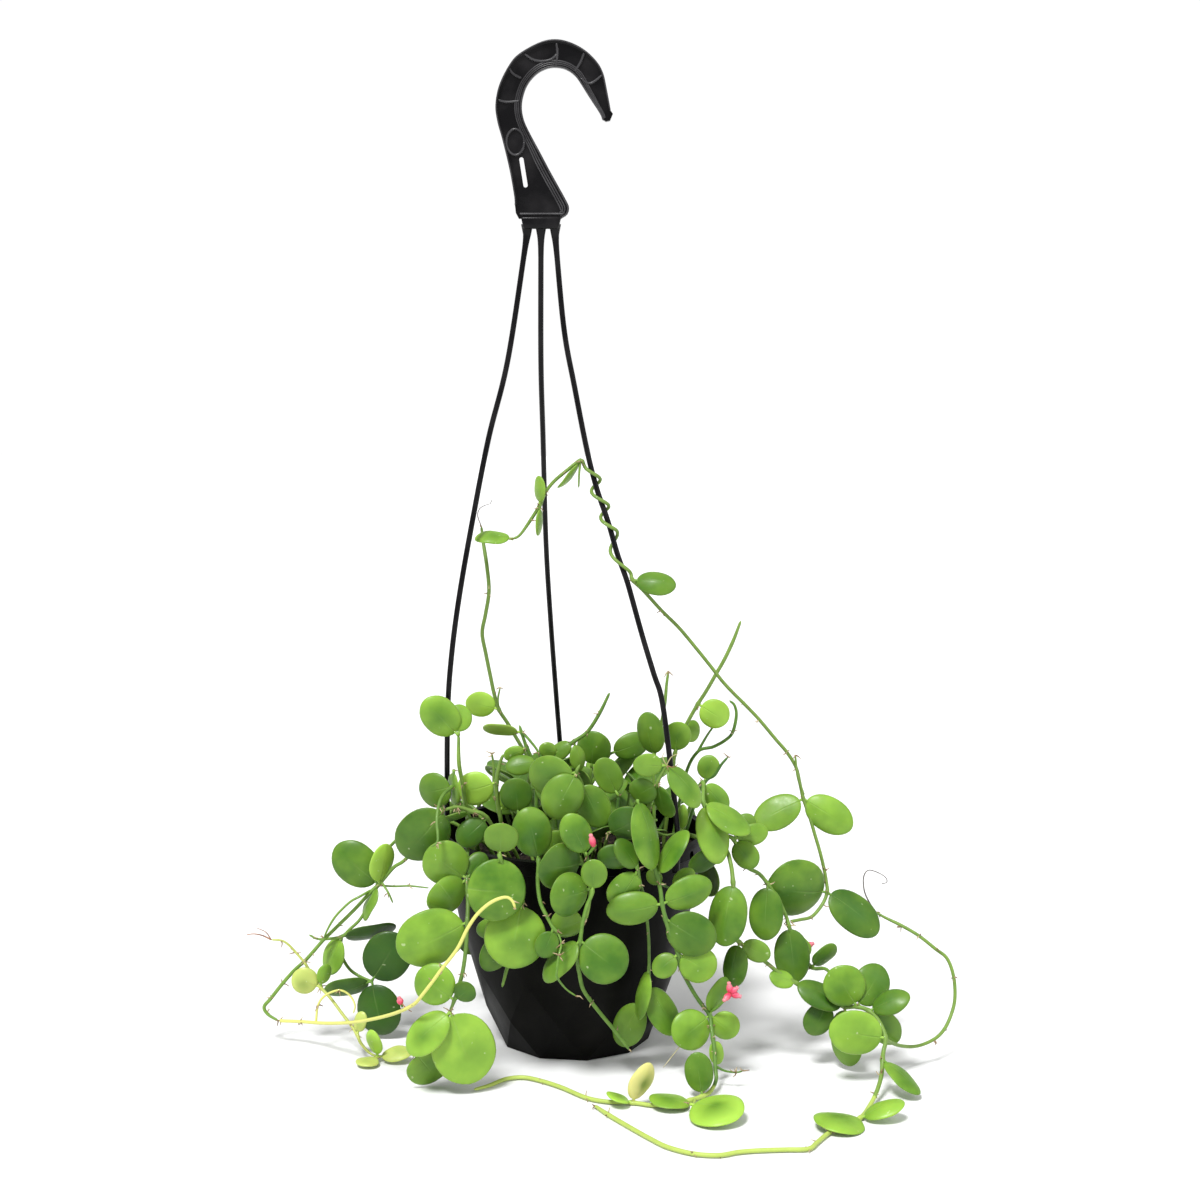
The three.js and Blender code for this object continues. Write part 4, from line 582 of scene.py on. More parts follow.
# Leafy stems: where each one grows. A stem's course is a row of [x, height, y] as the viewer sees it,
# with FLOOR for a point on the ground, and a leaf grows from a point of it: [x and height of its tip,
# its width as seen, 1 or -1 for the way it tips or rolls]. A root stands in the soil or at an angle
# under the rim.
FLOOR = None
VINES = [
  { "name": "vine_heart", "root": [-56, -33], "stems": [
    { "d": 2.3, "at": [[-62, 135, -40], [-64, 150, -44], [-66, 163, -46],
      [-66, 178.5, -47, [-85, 200, 21, 1], [-65, 196.5, 15, -1]]] },
  ] },
  { "name": "vine_sprout_left", "root": [-52, -36], "stems": [
    { "d": 2.2, "at": [[-60, 130, -50], [-66, 140, -52], [-69, 149, -53, [-88.5, 143, 21, -1]],
      [-69, 158.5, -53, [-75, 138, 6, 1]]] },
    { "d": 1.8, "at": [[-69, 149, -53], [-75, 144, -66], [-78, 137, -74], [-79, 128, -80], [-78.5, 120, -84],
      [-79, 115.5, -86], [-82.5, 113, -87]] },
  ] },
  { "name": "vine_left_round", "root": [-35, -38], "stems": [
    { "d": 2.2, "at": [[-50, 130, -57, [-67, 116, 16, 1]], [-59, 134, -60, [-80, 124, 7, -1]],
      [-67, 136.5, -63], [-74.5, 135, -66, [-99, 106, 30, 1]]] },
  ] },
  { "name": "vine_left", "over": 186, "stems": [
    { "d": 2.2, "at": [[-84, 121, -8], [-88, 116, -6], [-98, 105, -5], [-104, 101, -4], [-110, 94, -3],
      [-113, 90.5, -3, [-137.5, 113, 25, 1], [-112, 116.5, 12, -1], [-116, 66, 8, 1]], [-117.5, 86.5, -4],
      [-127, 76, -5], [-137, 66, -6], [-146, 57, -8], [-152, 50, -10], [-157, 44.5, -11], [-163, 39, -12],
      [-170, 31, -12], [-177, 22, -12], [-181, 17, -12], [-179, 12.5, -13], [-173, 8.5, -15]] },
    { "d": 2, "at": [[-84, 121, -8], [-92, 122, 4], [-100, 119, 9], [-109, 109.5, 13], [-112, 99, 11],
      [-113.5, 92, 7]] },
    { "d": 1.8, "at": [[-115, 88, -3.5], [-119, 79, -6], [-124, 70, -4], [-130, 64, -4],
      [-135, 59.5, -4, [-104, 50, 15, -1], [-147.5, 37, 12, 1]], [-143, 58, -3], [-149, 58, -2],
      [-154, 60.5, -2]] },
    { "d": 1.5, "at": [[-118, 87, -4], [-124, 83.5, -8], [-130, 80, -9], [-138, 72, -10], [-143, 64, -10],
      [-145.5, 58, -8]] },
    { "d": 2, "at": [[-135, 59.5, -4], [-136, 52, 2], [-134, 45, 4], [-130, 39, 4], [-124, 35, 2],
      [-118, 32.5, -6, [-101, 60, 28, 1], [-110, 1, 26, 1], [-146, 24.5, 16, -1]]] },
    { "d": 1.5, "at": [[-111.5, 92.2, -3], [-107.5, 85.5, -8], [-105, 79.5, -9]] },
    { "d": 1.2, "at": [[-112.5, 90, -3], [-104, 89.5, 0], [-95, 89.7, 0], [-84, 88.5, -6]] },
  ] },
  { "name": "vine_left_yellow", "ripe": 0.5, "stems": [
    { "d": 1.8, "at": [[-157, 44, -13.8], [-152, 35, -15],
      [-148, 29, -17, [-164, 36, 16, 1], [-144, 43, 8, -1]], [-142, 22, -21], [-135, 12, -27],
      [-130, 5, -32], [-127, 0, -36, [-123, 14, 8, 1]], [-125, -5, -39],
      [-120, -11, -42], [-115, -13.5, -45, [-126, -17, 3.5, 1], [-95, -12, 6, 1], [-117.5, 4.5, 10, -1]]] },
    { "d": 1.5, "at": [[-157, 44, -13.8], [-162, 50, -12], [-166, 54.5, -12], [-170, 57, -12],
      [-176, 57.5, -12]] },
  ] },
  { "name": "vine_left_runner", "ripe": 0.8, "stems": [
    { "d": 2, "at": [[-171.8, 8.5, -15.5], [-160, 8, -20], [-145, 7, -33], [-130, 7.5, -50], [-118, 9.5, -68],
      [-108, 12, -84], [-100, 15, -96], [-93, 19, -104], [-88, 25, -108], [-82, 33, -110], [-77, 40, -111],
      [-68, 52, -112], [-62, 64, -112], [-56, 73, -112], [-48, 80, -111], [-40, 83, -110], [-36, 81, -110],
      [-34, 76, -110]] },
    { "d": 1.3, "at": [[-151, 7.4, -27.5], [-149.5, 18, -26], [-145, 24, -26], [-137, 27, -26],
      [-131, 24, -26], [-128, 18, -28], [-129, 13, -30]] },
  ] },
  { "name": "vine_left_rim", "over": 222, "stems": [
    { "d": 2.3, "at": [[-62, 94, -74, [-84, 112, 27, 1], [-84, 78, 22, 1], [-51, 108, 13, -1]],
      [-61.5, 80, -80], [-62, 68, -86, [-102, 51, 35, 1]], [-63, 52, -91], [-65, 38, -95], [-68, 27, -97],
      [-70, 21, -98, [-91, 37, 25, -1], [-59, 31, 14, -1]],
      [-72.5, 14, -99, [-96, -11, 19, 1], [-55, -29, 38, -1]]] },
    { "d": 1.8, "at": [[-72.5, 14, -99], [-80, 2, -96], [-87, -6, -94],
      [-93, -11, -94, [-80, -37, 30, -1]]] },
  ] },
  { "name": "vine_front_left", "over": 240, "stems": [
    { "d": 2.2, "at": [[-43, 108, -96, [-47, 69, 34, -1], [-41, 128, 20, 1]], [-38, 96, -88], [-33, 87, -84],
      [-30, 80, -86, [-38, 42, 36, 1]], [-35, 66, -76, [-53, 41, 18, -1], [-57, 62, 14, -1]],
      [-39, 52, -74], [-38.5, 44, -74], [-40, 37, -75], [-42, 29, -76]] },
  ] },
  { "name": "vine_dark_left", "root": [-22, -44], "stems": [
    { "d": 2, "at": [[-30, 128, -40], [-32, 132, -40, [-34, 154, 19, 1]]] },
  ] },
  { "name": "vine_front_root", "over": 255, "stems": [
    { "d": 2.2, "at": [[-20.5, 105, -81, [-27, 136, 23, -1]], [-21, 92, -84], [-19.5, 80, -88],
      [-15.5, 71, -91], [-12, 64.5, -92, [-19, 47, 14, -1]], [-8.5, 61.5, -93]] },
    { "d": 1.2, "at": [[-9.5, 62, -93], [-7.5, 55, -99], [-9, 48, -104], [-10, 40, -106], [-10, 35, -106],
      [-5, 28, -100], [1, 23.5, -96]] },
  ] },
  { "name": "vine_front_fall", "over": 275, "stems": [
    { "d": 2.2, "at": [[9.5, 99, -88], [10.5, 86.5, -93, [13, 107.5, 15.5, 1]], [7.5, 78, -93], [5, 68, -92],
      [3.5, 57, -90, [-17.5, 33, 9, 1], [29, 38, 29, 1]], [2, 45, -86], [3, 37, -82], [5, 28, -78],
      [10, 20, -75], [16, 12, -73], [24, 2, -72], [32, -9, -70]] },
  ] },
  { "name": "vine_front_mid", "over": 266, "stems": [
    { "d": 2, "at": [[2, 108, -81.5], [5, 103, -82, [-17.5, 105, 28, 1]], [9, 96, -84.5],
      [9.5, 88, -86, [-15, 84, 26, 1]], [8.5, 77, -85], [7, 70, -84, [-14, 65, 22, 1]]] },
  ] },
  { "name": "vine_front_lime", "root": [10, -48], "stems": [
    { "d": 2, "at": [[12, 112, -60], [12, 113, -74], [7.5, 108, -93, [-4, 132.5, 18, 1]]] },
  ] },
  { "name": "vine_mid_pair", "root": [2, -40], "stems": [
    { "d": 2.2, "at": [[5, 128, -50], [5, 142, -58], [4, 151, -64, [17, 125, 20, -1]],
      [1.5, 157, -74, [-13.5, 130.5, 24, 1], [-28, 147, 27, -1]], [3.5, 161.5, -75]] },
    { "d": 1.8, "at": [[5, 128, -50], [2, 119, -58, [-18, 102, 22, -1]]] },
  ] },
  { "name": "vine_mid_oval", "root": [26, -34], "stems": [
    { "d": 2, "at": [[25, 128, -40], [25.5, 143, -42, [15, 165, 16, -1]]] },
  ] },
  { "name": "vine_dark_round", "root": [16, -54], "stems": [
    { "d": 2, "at": [[17, 108, -62], [19.5, 121, -76, [38.5, 136.5, 21.5, 1]]] },
  ] },
  { "name": "vine_right_long", "root": [36, -38], "stems": [
    { "d": 2, "at": [[34, 124, -60], [34.5, 135, -74], [36.5, 141, -86, [42.5, 100, 12.5, 1]]] },
  ] },
  { "name": "vine_right_star", "root": [43, -40], "stems": [
    { "d": 2.2, "at": [[42, 125, -52], [44, 140, -60],
      [48, 151, -70, [33.5, 141, 17, -1], [46.5, 125.5, 12, 1]],
      [53, 161, -72, [34, 162, 14, 1], [72.5, 137.5, 13, 1]]] },
    { "d": 1.6, "at": [[42, 125, -52], [52, 120, -44], [62, 122, -46, [64.5, 138, 6, 1]]] },
  ] },
  { "name": "vine_right_lime", "root": [52, 4], "stems": [
    { "d": 2.2, "at": [[56, 150, 0], [58, 168, 0, [60, 188, 16, -1]], [62, 180, 0, [73.5, 180, 13, -1]],
      [66, 188, -1], [71, 197, -2, [88, 187, 17, 1]], [76, 205, -3], [81, 214, -4], [86, 223, -5],
      [91, 234, -6], [95, 245, -7]] },
  ] },
  { "name": "vine_right_curl", "root": [58, 18], "stems": [
    { "d": 2, "at": [[64, 155, 14], [71, 169, 10], [80, 172, 8], [87, 176, 7], [91, 180.5, 6], [93, 190, 5],
      [92, 196, 4], [89, 199, 3]] },
    { "d": 1.6, "at": [[71, 169, 10], [76, 178, 10], [81, 185.5, 10]] },
  ] },
  { "name": "vine_right_bud", "root": [62, -8], "stems": [
    { "d": 2, "at": [[70, 140, -8], [75, 151, -9, [79, 167, 13, -1]], [81, 156, -10], [85, 162, -10],
      [88.5, 166, -10]] },
  ] },
  { "name": "vine_sprout_arm", "root": [46, -10], "stems": [
    { "d": 2, "at": [[46, 150, -10], [46, 166, -10, [44, 193.5, 15, -1]], [49.5, 182, -11], [52, 197, -12],
      [53, 208, -13], [54, 216, -13]] },
  ] },
  { "name": "vine_sprout_tall", "root": [-24, 4], "stems": [
    { "d": 2.2, "at": [[-20, 155, 4], [-17, 163, 4], [-8, 168.5, 4, [-20, 172, 9, -1]],
      [0, 175, 4, [3.5, 158, 9, 1], [-14, 166, 8, 1]], [8, 181, 4], [15, 192, 4], [20.5, 203.5, 4]] },
  ] },
  { "name": "vine_back_low", "root": [16, 16], "stems": [
    { "d": 2.2, "at": [[10, 150, 18], [10, 160, 19, [12.5, 181.5, 20, -1]]] },
    { "d": 2, "at": [[10, 150, 18], [16, 160, 20], [21, 168, 20, [43, 176, 15, -1]]] },
  ] },
  { "name": "vine_tall_left", "root": [-30, -8], "stems": [
    { "d": 2.2, "at": [[-26, 150, -8], [-25, 162, -9], [-30, 172, -10], [-34, 179, -10], [-38, 186, -11],
      [-43, 194, -12, [-61.5, 200, 15, 1]], [-45.5, 203, -12], [-47.5, 213, -12], [-50, 226, -12],
      [-52, 238, -12], [-50, 249, -11], [-48, 262, -9], [-49, 276, -6], [-51, 290, 0], [-52, 299, 2]] },
    { "d": 1.4, "at": [[-43, 194, -12], [-43.3, 200, -14], [-42, 206.5, -14]] },
  ] },
  { "name": "vine_fork", "root": [-20, -22], "stems": [
    { "d": 2.2, "at": [[-22, 150, -22], [-23, 162, -22], [-27, 171.5, -23, [-40, 165, 9, -1]],
      [-30, 180.5, -24, [-52, 183, 8, -1]], [-31, 184.5, -24]] },
    { "d": 1.6, "at": [[-30, 181, -24], [-25.5, 176, -27], [-20.5, 169, -28],
      [-20, 163, -28, [-39, 159.5, 10, 1]]] },
  ] },
  { "name": "vine_light_left", "root": [-38, -26], "stems": [
    { "d": 2.4, "at": [[-42, 128, -36], [-43, 134, -37, [-30, 152, 14, -1]], [-44, 140, -38],
      [-44.5, 151, -39, [-67, 144.5, 20, 1]], [-42.5, 162, -40], [-40.5, 167.5, -41]] },
    { "d": 1.7, "at": [[-44, 140, -38], [-46, 150, -32], [-46, 160, -31], [-47, 168, -31]] },
  ] },
  { "name": "vine_right_mid", "root": [58, -26], "stems": [
    { "d": 2.2, "at": [[68, 140, -34], [74, 151, -42, [88.5, 134, 13, 1]],
      [74.5, 139, -56, [80.5, 103.5, 19, 1], [99.5, 119.5, 12, 1]], [79, 130, -51], [87, 120.5, -49],
      [92, 117.5, -48, [105, 102, 15, 1], [112, 122, 13, -1], [104, 131, 13, -1]], [96, 108, -47],
      [100, 101, -45], [107, 97, -43], [112, 91, -41, [110.5, 58.5, 20, 1]], [118, 82, -39], [121, 76, -38],
      [123.5, 70, -37], [124.5, 66, -39.5, [128.5, 32.5, 21, 1]], [126.5, 61.5, -33, [138.5, 51, 8, -1]],
      [131, 52, -31], [138, 41, -32, [148, 58, 11, -1]],
      [146, 40, -46], [151, 35.5, -54]] },
  ] },
  { "name": "vine_right_leafy", "over": 328, "stems": [
    { "d": 2.4, "at": [[76, 116, -46], [87, 112, -50, [66, 101, 13, -1]], [90.5, 103, -56],
      [92, 92, -64, [88, 55, 22, 1]],
      [93, 76, -62], [94, 60, -60], [96, 56, -58, [113.5, 47, 13, -1], [90, 29, 14, 1]], [104, 50, -56],
      [112, 43.5, -54], [120, 37, -53], [130, 31, -53, [112.5, 34.5, 8, 1]], [138, 26, -55],
      [148, 21, -58, [138, 0, 17, -1]], [158, 17, -60, [131, 31, 9, 1], [160, -19, 19, -1]],
      [165, 17, -66, [152.5, 37, 25, -1], [182, 40, 22, -1]],
      [172, 14.5, -70, [196.5, 21.5, 10.5, 1], [191, -7, 18, -1]], [178, 8, -76],
      [182, -2, -82, [149, 5, 27, 1]], [181, -10, -86], [180.5, -15, -90, [202, -37, 6, 1]],
      [180, -25, -97], [177, -36, -107], [172.5, -45, FLOOR],
      [168, -51, FLOOR, [194, -42, 5, 1], [145, -56, 7, 1]], [160, -54, FLOOR], [150, -60, FLOOR],
      [143, -66, FLOOR], [138, -70, FLOOR], [125, -70.5, FLOOR], [110, -71, FLOOR], [97, -72, FLOOR],
      [85, -74, FLOOR], [70, -73, FLOOR], [55, -69, FLOOR], [45, -64, FLOOR], [33, -57, FLOOR],
      [20, -49, FLOOR], [12, -43.5, FLOOR]] },
    { "d": 2, "at": [[182, -3, -82.4], [190, -6.5, -68], [200, -7, -56], [210, -3, -48], [216, 3, -42],
      [220, 12, -36], [222, 22, -32], [221, 35, -28], [217, 46, -24], [210, 52, -22], [200, 60, -18],
      [190, 66, -14], [180, 71, -10], [175, 74, -8]] },
  ] },
  { "name": "vine_right_fall", "over": 304, "stems": [
    { "d": 2.3, "at": [[46, 103, -78], [48, 96, -80, [61.5, 124, 12.5, 1]], [50, 87, -82],
      [51, 79, -84, [19, 74, 20, 1], [80, 90, 20, 1]], [53, 70, -84, [81, 53, 26, -1]], [55, 63, -84],
      [58, 55, -83], [60.5, 49, -82, [46.5, 37, 14, 1], [82, 36, 22, 1]], [61.5, 42, -80], [64, 36, -78],
      [70, 25, -74], [75, 17.5, -71], [79, 12, -70, [59.5, -1, 24, 1], [95, 3, 18, 1], [88, 35, 15, -1]],
      [80, 5, -74], [81, -2, -78, [85.5, -18, 9, 1]], [82, -10, -82], [82.5, -19, -86], [83, -28, -91],
      [79.5, -35, FLOOR], [75, -37.5, FLOOR, [71.5, -11.5, 17, -1]],
      [68, -40, FLOOR, [45.5, -41, 9, 1]], [55, -43, FLOOR], [45, -43, FLOOR],
      [34, -41.5, FLOOR, [42, -16, 13, -1], [18, -40, 5, 1]], [20, -41, FLOOR], [7, -38.5, FLOOR],
      [-8, -32, FLOOR], [-20, -28, FLOOR], [-30, -26, FLOOR], [-40, -27, FLOOR], [-50, -31, FLOOR],
      [-59, -33.5, FLOOR]] },
    { "d": 1.6, "at": [[49, 91, -81], [52, 90, -74, [42.5, 98, 9, 1]], [56, 88, -69, [69, 99, 10, 1]]] },
    { "d": 1.4, "at": [[82.5, -19, -86], [88, -22, -86], [95, -23, -86], [99, -22, -86]] },
    { "d": 1.6, "at": [[71, -39, FLOOR], [70, -42, -116], [68, -42.5, -122, [97, -49, 18, 1]]] },
  ] },
  { "name": "vine_front_thin", "over": 296, "stems": [
    { "d": 1.8, "at": [[36, 106, -80, [11, 108, 17, -1]], [37, 99, -84, [22, 76, 18, -1], [24.5, 117, 11, 1]],
      [38.5, 91, -80],
      [41, 80, -76], [43, 62, -72], [43.5, 50, -68], [43.5, 40, -64, [50, 10, 6, -1]],
      [43, 30, -61, [48, -2, 15, 1]], [39, 20, -59, [24, -8, 18, 1]]] },
  ] },
  { "name": "vine_twining", "stems": [
    { "d": 2, "at": [[126, 68.5, -36.6], [131, 69.5, -33], [138, 71.5, -28], [144, 79, -23],
      [146.5, 86, -20, [117, 93, 36, 1], [175, 61, 19, 1]], [146, 92, -18], [144.5, 100, -17],
      [142, 110, -16], [139, 120, -14], [136, 130, -12],
      [132, 141.5, -10, [104.5, 126, 17, 1], [159.5, 124, 20, 1]], [130, 150, -10], [127.5, 160, -10],
      [122, 169, -10], [116, 176, -11], [106, 188, -12], [97.5, 197, -13], [91, 203.5, -14], [85, 210, -15],
      [78, 219, -17], [70, 229, -19], [60, 241, -22], [50, 251, -25], [40, 262, -29],
      [33.5, 268.5, -32, [57, 261, 12, 1]]],
    "wound": [[4, 336.5, -17, [-6, 319, 6, -1]], [-4, 330.5, -18], [-11, 324.5, -18], [-16, 318, -18],
      [-19, 311, -18, [-13.5, 327.5, 7, 1], [-21, 294, 4, -1]], [-24, 303, -18], [-30, 294.5, -18],
      [-34, 292, -18, [-55.5, 295, 5.5, 1]]] },
    { "d": 1.4, "at": [[4, 336, -17], [3.3, 329, -19], [3, 321, -19]] },
    { "d": 1.6, "at": [[132, 144, -10], [128.5, 155, -12], [127, 167, -12]] },
  ] },
]
# The twining stem winds round the right arm: height, and turns made from the arm's right side.
COIL = [(276.3, 0), (299, 1), (313.2, 2), (327.6, 3), (334.9, 3.5)]
COIL_RADIUS = 3.5
COIL_CUTS = 10
# Stems that hang behind the pot: the angle at the rim and the pairs of leaves. Tufts in the soil: the
# radius and the angle.
HANGING = [(30, 2), (62, 3), (84, 4), (110, 3), (132, 4), (152, 2)]
HANGING_PITCH = 22
TUFTS = [(22, 70), (34, 20), (40, 60), (44, 100), (46, 140), (30, 150), (56, 45), (58, 120), (30, 300),
         (28, 250), (46, 332)]
FILL_LEAF = 25
ROOT_RING = 58
ROOT_DEPTH = 7
# A leaf whose tip is seen under TIP_LIFT stands on it. Where its joint is low too it lies, higher and
# leaning more the wider it is seen.
TIP_LIFT = 3
LYING_JOINT = 8
LYING_LIFT = 0.22
LYING_LEAN = 0.012
LEAF_RATIO = 0.93
LEAF_SLIM = 0.62
UP = np.array([0.0, 0, 1])
TOWARD = np.array([0.0, -1, 0])


def stream(seed):
    """A repeatable stream of numbers from -1 to 1."""
    state = seed
    while True:
        state = (state * 16807) % 2147483647
        yield (2 * state) / 2147483647 - 1


pull = stream(11)


def laid(x, height, lift):
    """The point at a height above the ground on the viewer's line."""
    far = (EYE[2] - lift) / (EYE[2] - height)
    return seen(x, height, EYE[1] * (1 - far))


def unit(vector):
    return vector / np.linalg.norm(vector)


def coil_points():
    arm = arm_line("right")
    points = []
    for i in range(int(COIL[-1][1] * COIL_CUTS) + 1):
        turn = i / COIL_CUTS
        z = np.interp(turn, [made for _, made in COIL], [height for height, _ in COIL])
        below = next(k for k, point in enumerate(arm) if point[2] < z)
        low, high = arm[below], arm[below - 1]
        at = low + (high - low) * (z - low[2]) / (high[2] - low[2])
        way = 2 * math.pi * turn
        points.append(at + COIL_RADIUS * np.array([math.cos(way), -math.sin(way), 0]))
    return points


def turn_blade(along, face, lean, roll, spin):
    """Turns a blade: its tip toward its face, its face about its length, its length in its plane."""
    tipped = along * math.cos(lean) + face * math.sin(lean)
    leant = face * math.cos(lean) - along * math.sin(lean)
    rolled = leant * math.cos(roll) + np.cross(leant, tipped) * math.sin(roll)
    return tipped * math.cos(spin) + np.cross(rolled, tipped) * math.sin(spin), rolled


def seen_leaf(joint, tip_x, tip_height, seen_width, way):
    """A leaf as it is seen: one that looks short leans, and one that looks narrow is rolled."""
    tip = seen(tip_x, tip_height, joint[1])
    low = tip[2] < TIP_LIFT
    lying = low and joint[2] < LYING_JOINT
    if low:
        tip = laid(tip_x, tip_height, TIP_LIFT + (LYING_LIFT * seen_width if lying else 0))
    reach = np.linalg.norm(tip - joint)
    along = (tip - joint) / reach
    facing = np.array([0, -LYING_LEAN * seen_width, 1]) if lying else TOWARD
    face = unit(facing - along * facing.dot(along))
    leaf = {"joint": joint, "along": along, "face": face, "length": reach, "width": LEAF_RATIO * reach,
            "tip": (tip_x, tip_height)}
    if not lying:
        wide = seen_width * (joint[1] - EYE[1]) / -EYE[1]
        leaf["length"] = max(reach, wide / LEAF_RATIO)
        leaf["width"] = max(wide, LEAF_SLIM * leaf["length"])
        upward = -1 if np.cross(face, along)[2] < 0 else 1
        leaf["along"], leaf["face"] = turn_blade(along, face, way * math.acos(reach / leaf["length"]),
                                                 way * upward * math.acos(wide / leaf["width"]), 0)
    return leaf


def root_points(vine):
    if "root" in vine:
        return [np.array([*vine["root"], SOIL_TOP - down]) for down in (ROOT_DEPTH, -5)]
    if "over" in vine:
        angle = vine["over"]
        return [polar(ROOT_RING, angle, SOIL_TOP - ROOT_DEPTH), polar(ROOT_RING, angle, SOIL_TOP + 5),
                polar(ROOT_RING + 8, angle, RIM_TOP + 3), polar(RIM_RADIUS + 1, angle, RIM_TOP + 6.5)]
    return []


def stem_line(stem, step=CURVE_STEP):
    """A stem's points: straight up out of the soil where it has a root, then smooth."""
    roots, route = stem["roots"], stem["route"]
    return np.array([*roots[:1], *smooth_line([*roots[1:], *route], step)])


def read_vine(vine):
    leaves, stems = [], []
    for order, course in enumerate(vine["stems"]):
        radius = course["d"] / 2
        route, joints = [], []

        def place(x, height, y, *tips):
            point = laid(x, height, radius + 0.35) if y is FLOOR else seen(x, height, y)
            leaves.extend(seen_leaf(point, *tip) for tip in tips)
            joints.append((point, len(tips)))
            return point

        route.extend(place(*point) for point in course["at"])
        if "wound" in course:
            route.extend(coil_points())
            route.extend(place(*point) for point in course["wound"])
        stems.append({"radius": radius, "route": route, "joints": joints,
                      "roots": [] if order else root_points(vine)})
    return {"name": vine["name"], "ripe": vine.get("ripe", 0), "stems": stems, "leaves": leaves}


def fill_leaf(joint, along, face, length):
    """A leaf that no view of the plant gives."""
    return {"joint": joint, "along": along, "face": face, "length": length, "width": LEAF_RATIO * length,
            "tip": None}


def filler(name, radius, route, roots, leaves):
    """A vine of one stem, with a pair of leaves at each of its joints."""
    stem = {"radius": radius, "route": route, "joints": [(joint, 2) for joint in route], "roots": roots}
    return {"name": name, "ripe": 0, "stems": [stem], "leaves": leaves}


def hanging_vine(index, angle, pairs):
    """A stem that hangs behind the pot, with pairs of leaves that face outward."""
    route = []
    for i in range(pairs):
        radius = RIM_RADIUS + 8.5 + 2 * next(pull)
        route.append(polar(radius, angle + 2 * next(pull), RIM_TOP - 6 - HANGING_PITCH * i))
    leaves = []
    for i, joint in enumerate(route):
        face = unit(joint * [1, 1, 0])
        down = math.radians(48 if i % 2 else 20)
        for hand in (-1, 1):
            along = np.array([-face[1], face[0], 0]) * hand * math.cos(down) - UP * math.sin(down)
            leaves.append(fill_leaf(joint, along, face, FILL_LEAF + 2.5 * next(pull)))
    return filler(f"vine_back_{index + 1}", 1.1, route, root_points({"over": angle}), leaves)


def tuft(index, radius, angle):
    """A short tuft in the soil, with two crossed pairs of leaves."""
    root = polar(radius, angle, 0)
    heading = 180 * next(pull)
    route = []
    for i, rise in enumerate((10, 26)):
        x, y = root[0] + 3 * next(pull), root[1] + 3 * next(pull)
        route.append(np.array([x, y, SOIL_TOP + SOIL_CROWN + rise + 2 * i]))
    leaves = []
    for i, joint in enumerate(route):
        for turn in (0, 180):
            out = polar(1, heading + 90 * i + turn, 0)
            lift = math.radians(35 if i else 12)
            along = out * math.cos(lift) + UP * math.sin(lift)
            face = UP * math.cos(lift) - out * math.sin(lift)
            leaves.append(fill_leaf(joint, along, face, FILL_LEAF - 1 + 3 * next(pull)))
    return filler(f"tuft_{index + 1}", 1, route, root_points({"root": root[:2]}), leaves)


# Buds: where they stand. Each stalk starts beside the stem it belongs to, as the viewer sees it.
BUDS = [
    {"name": "bud_crown", "on": "vine_front_lime", "stalk": [(8.5, 108.6, -94.3), (11.5, 113, -98.5)],
     "tips": [(9.5, 120.5, -100.5)]},
    {"name": "buds_front", "on": "vine_right_fall",
     "stalk": [(80.2, 14.3, -72), (87, 20, -80), (91, 25, -83)],
     "tips": [(90, 32, -84), (95.5, 29, -84), (97.5, 23, -84), (87, 20.5, -88)]},
    {"name": "bud_right", "on": "vine_right_leafy", "stalk": [(154.8, 20.4, -60.6), (154.6, 23, -62)],
     "tips": [(153.8, 28.5, -63)]},
    {"name": "bud_right_high", "on": "vine_right_mid", "stalk": [(132.1, 52.3, -31.8), (134.6, 53.4, -33.5)],
     "tips": [(139.4, 55.5, -34.5)]},
    {"name": "bud_left", "on": "vine_left_runner", "stalk": [(-100.4, 17, -96.5), (-101, 18.5, -97)],
     "tips": [(-102.4, 23, -97.5)]},
]

# Places for the leaves, by the rule that the solids follow: from the nearest leaf to the farthest, each
# one takes the first of these tries that meets nothing: its size, how far it is turned, and whether it
# may lie against its own stem.
TRIES = [(1, 0, False), (1, 8, False), (1, 16, False), (1, 8, True), (1, 16, True), (0.9, 16, True),
         (1, 24, True), (0.88, 24, True), (1, 34, True), (0.88, 34, True), (0.76, 24, True), (0.76, 36, True),
         (0.76, 50, True)]
BLADE_CENTRE = 0.54
LEAF_DOME = 0.06
LEAF_CLEAR = 2.1
STEM_CLEAR = 1.4
WALL_CLEAR = 1.6
NODE_CLEAR = 5
KIN_CLEAR = 9
JITTER = 7
BLADE_RINGS = [(0, 1), (0.25, 6), (0.5, 12), (0.75, 18), (1, 24)]
BLADE_POINTS = np.array([(out, 2 * math.pi * i / count) for out, count in BLADE_RINGS for i in range(count)])


def blade_of(leaf, along, face, dome, share):
    side = np.cross(face, along)
    length, width = leaf["length"] * share, leaf["width"] * share
    centre = leaf["joint"] + along * BLADE_CENTRE * length
    out, turn = BLADE_POINTS.T
    surface = (centre + np.outer((1 - BLADE_CENTRE) * length * out * np.cos(turn), along)
               + np.outer(0.5 * width * out * np.sin(turn), side)
               + np.outer(dome * length * (1 - out * out), face))
    return {"vine": leaf["vine"], "joint": leaf["joint"], "tip": leaf["tip"], "along": along, "side": side,
            "face": face, "centre": centre, "length": length, "width": width, "dome": dome * length,
            "surface": surface}


def meets(blade, points, clear):
    """Which points come nearer to a blade than they may."""
    off = points - blade["centre"]
    out = np.hypot(off @ blade["along"] / ((1 - BLADE_CENTRE) * blade["length"]),
                   off @ blade["side"] / (0.5 * blade["width"]))
    above = off @ blade["face"] - blade["dome"] * np.maximum(0, 1 - out * out)
    return (out < 1 + clear / (0.5 * blade["width"])) & (np.abs(above) < clear)


def far_from(point, points):
    return np.linalg.norm(points - point, axis=1)


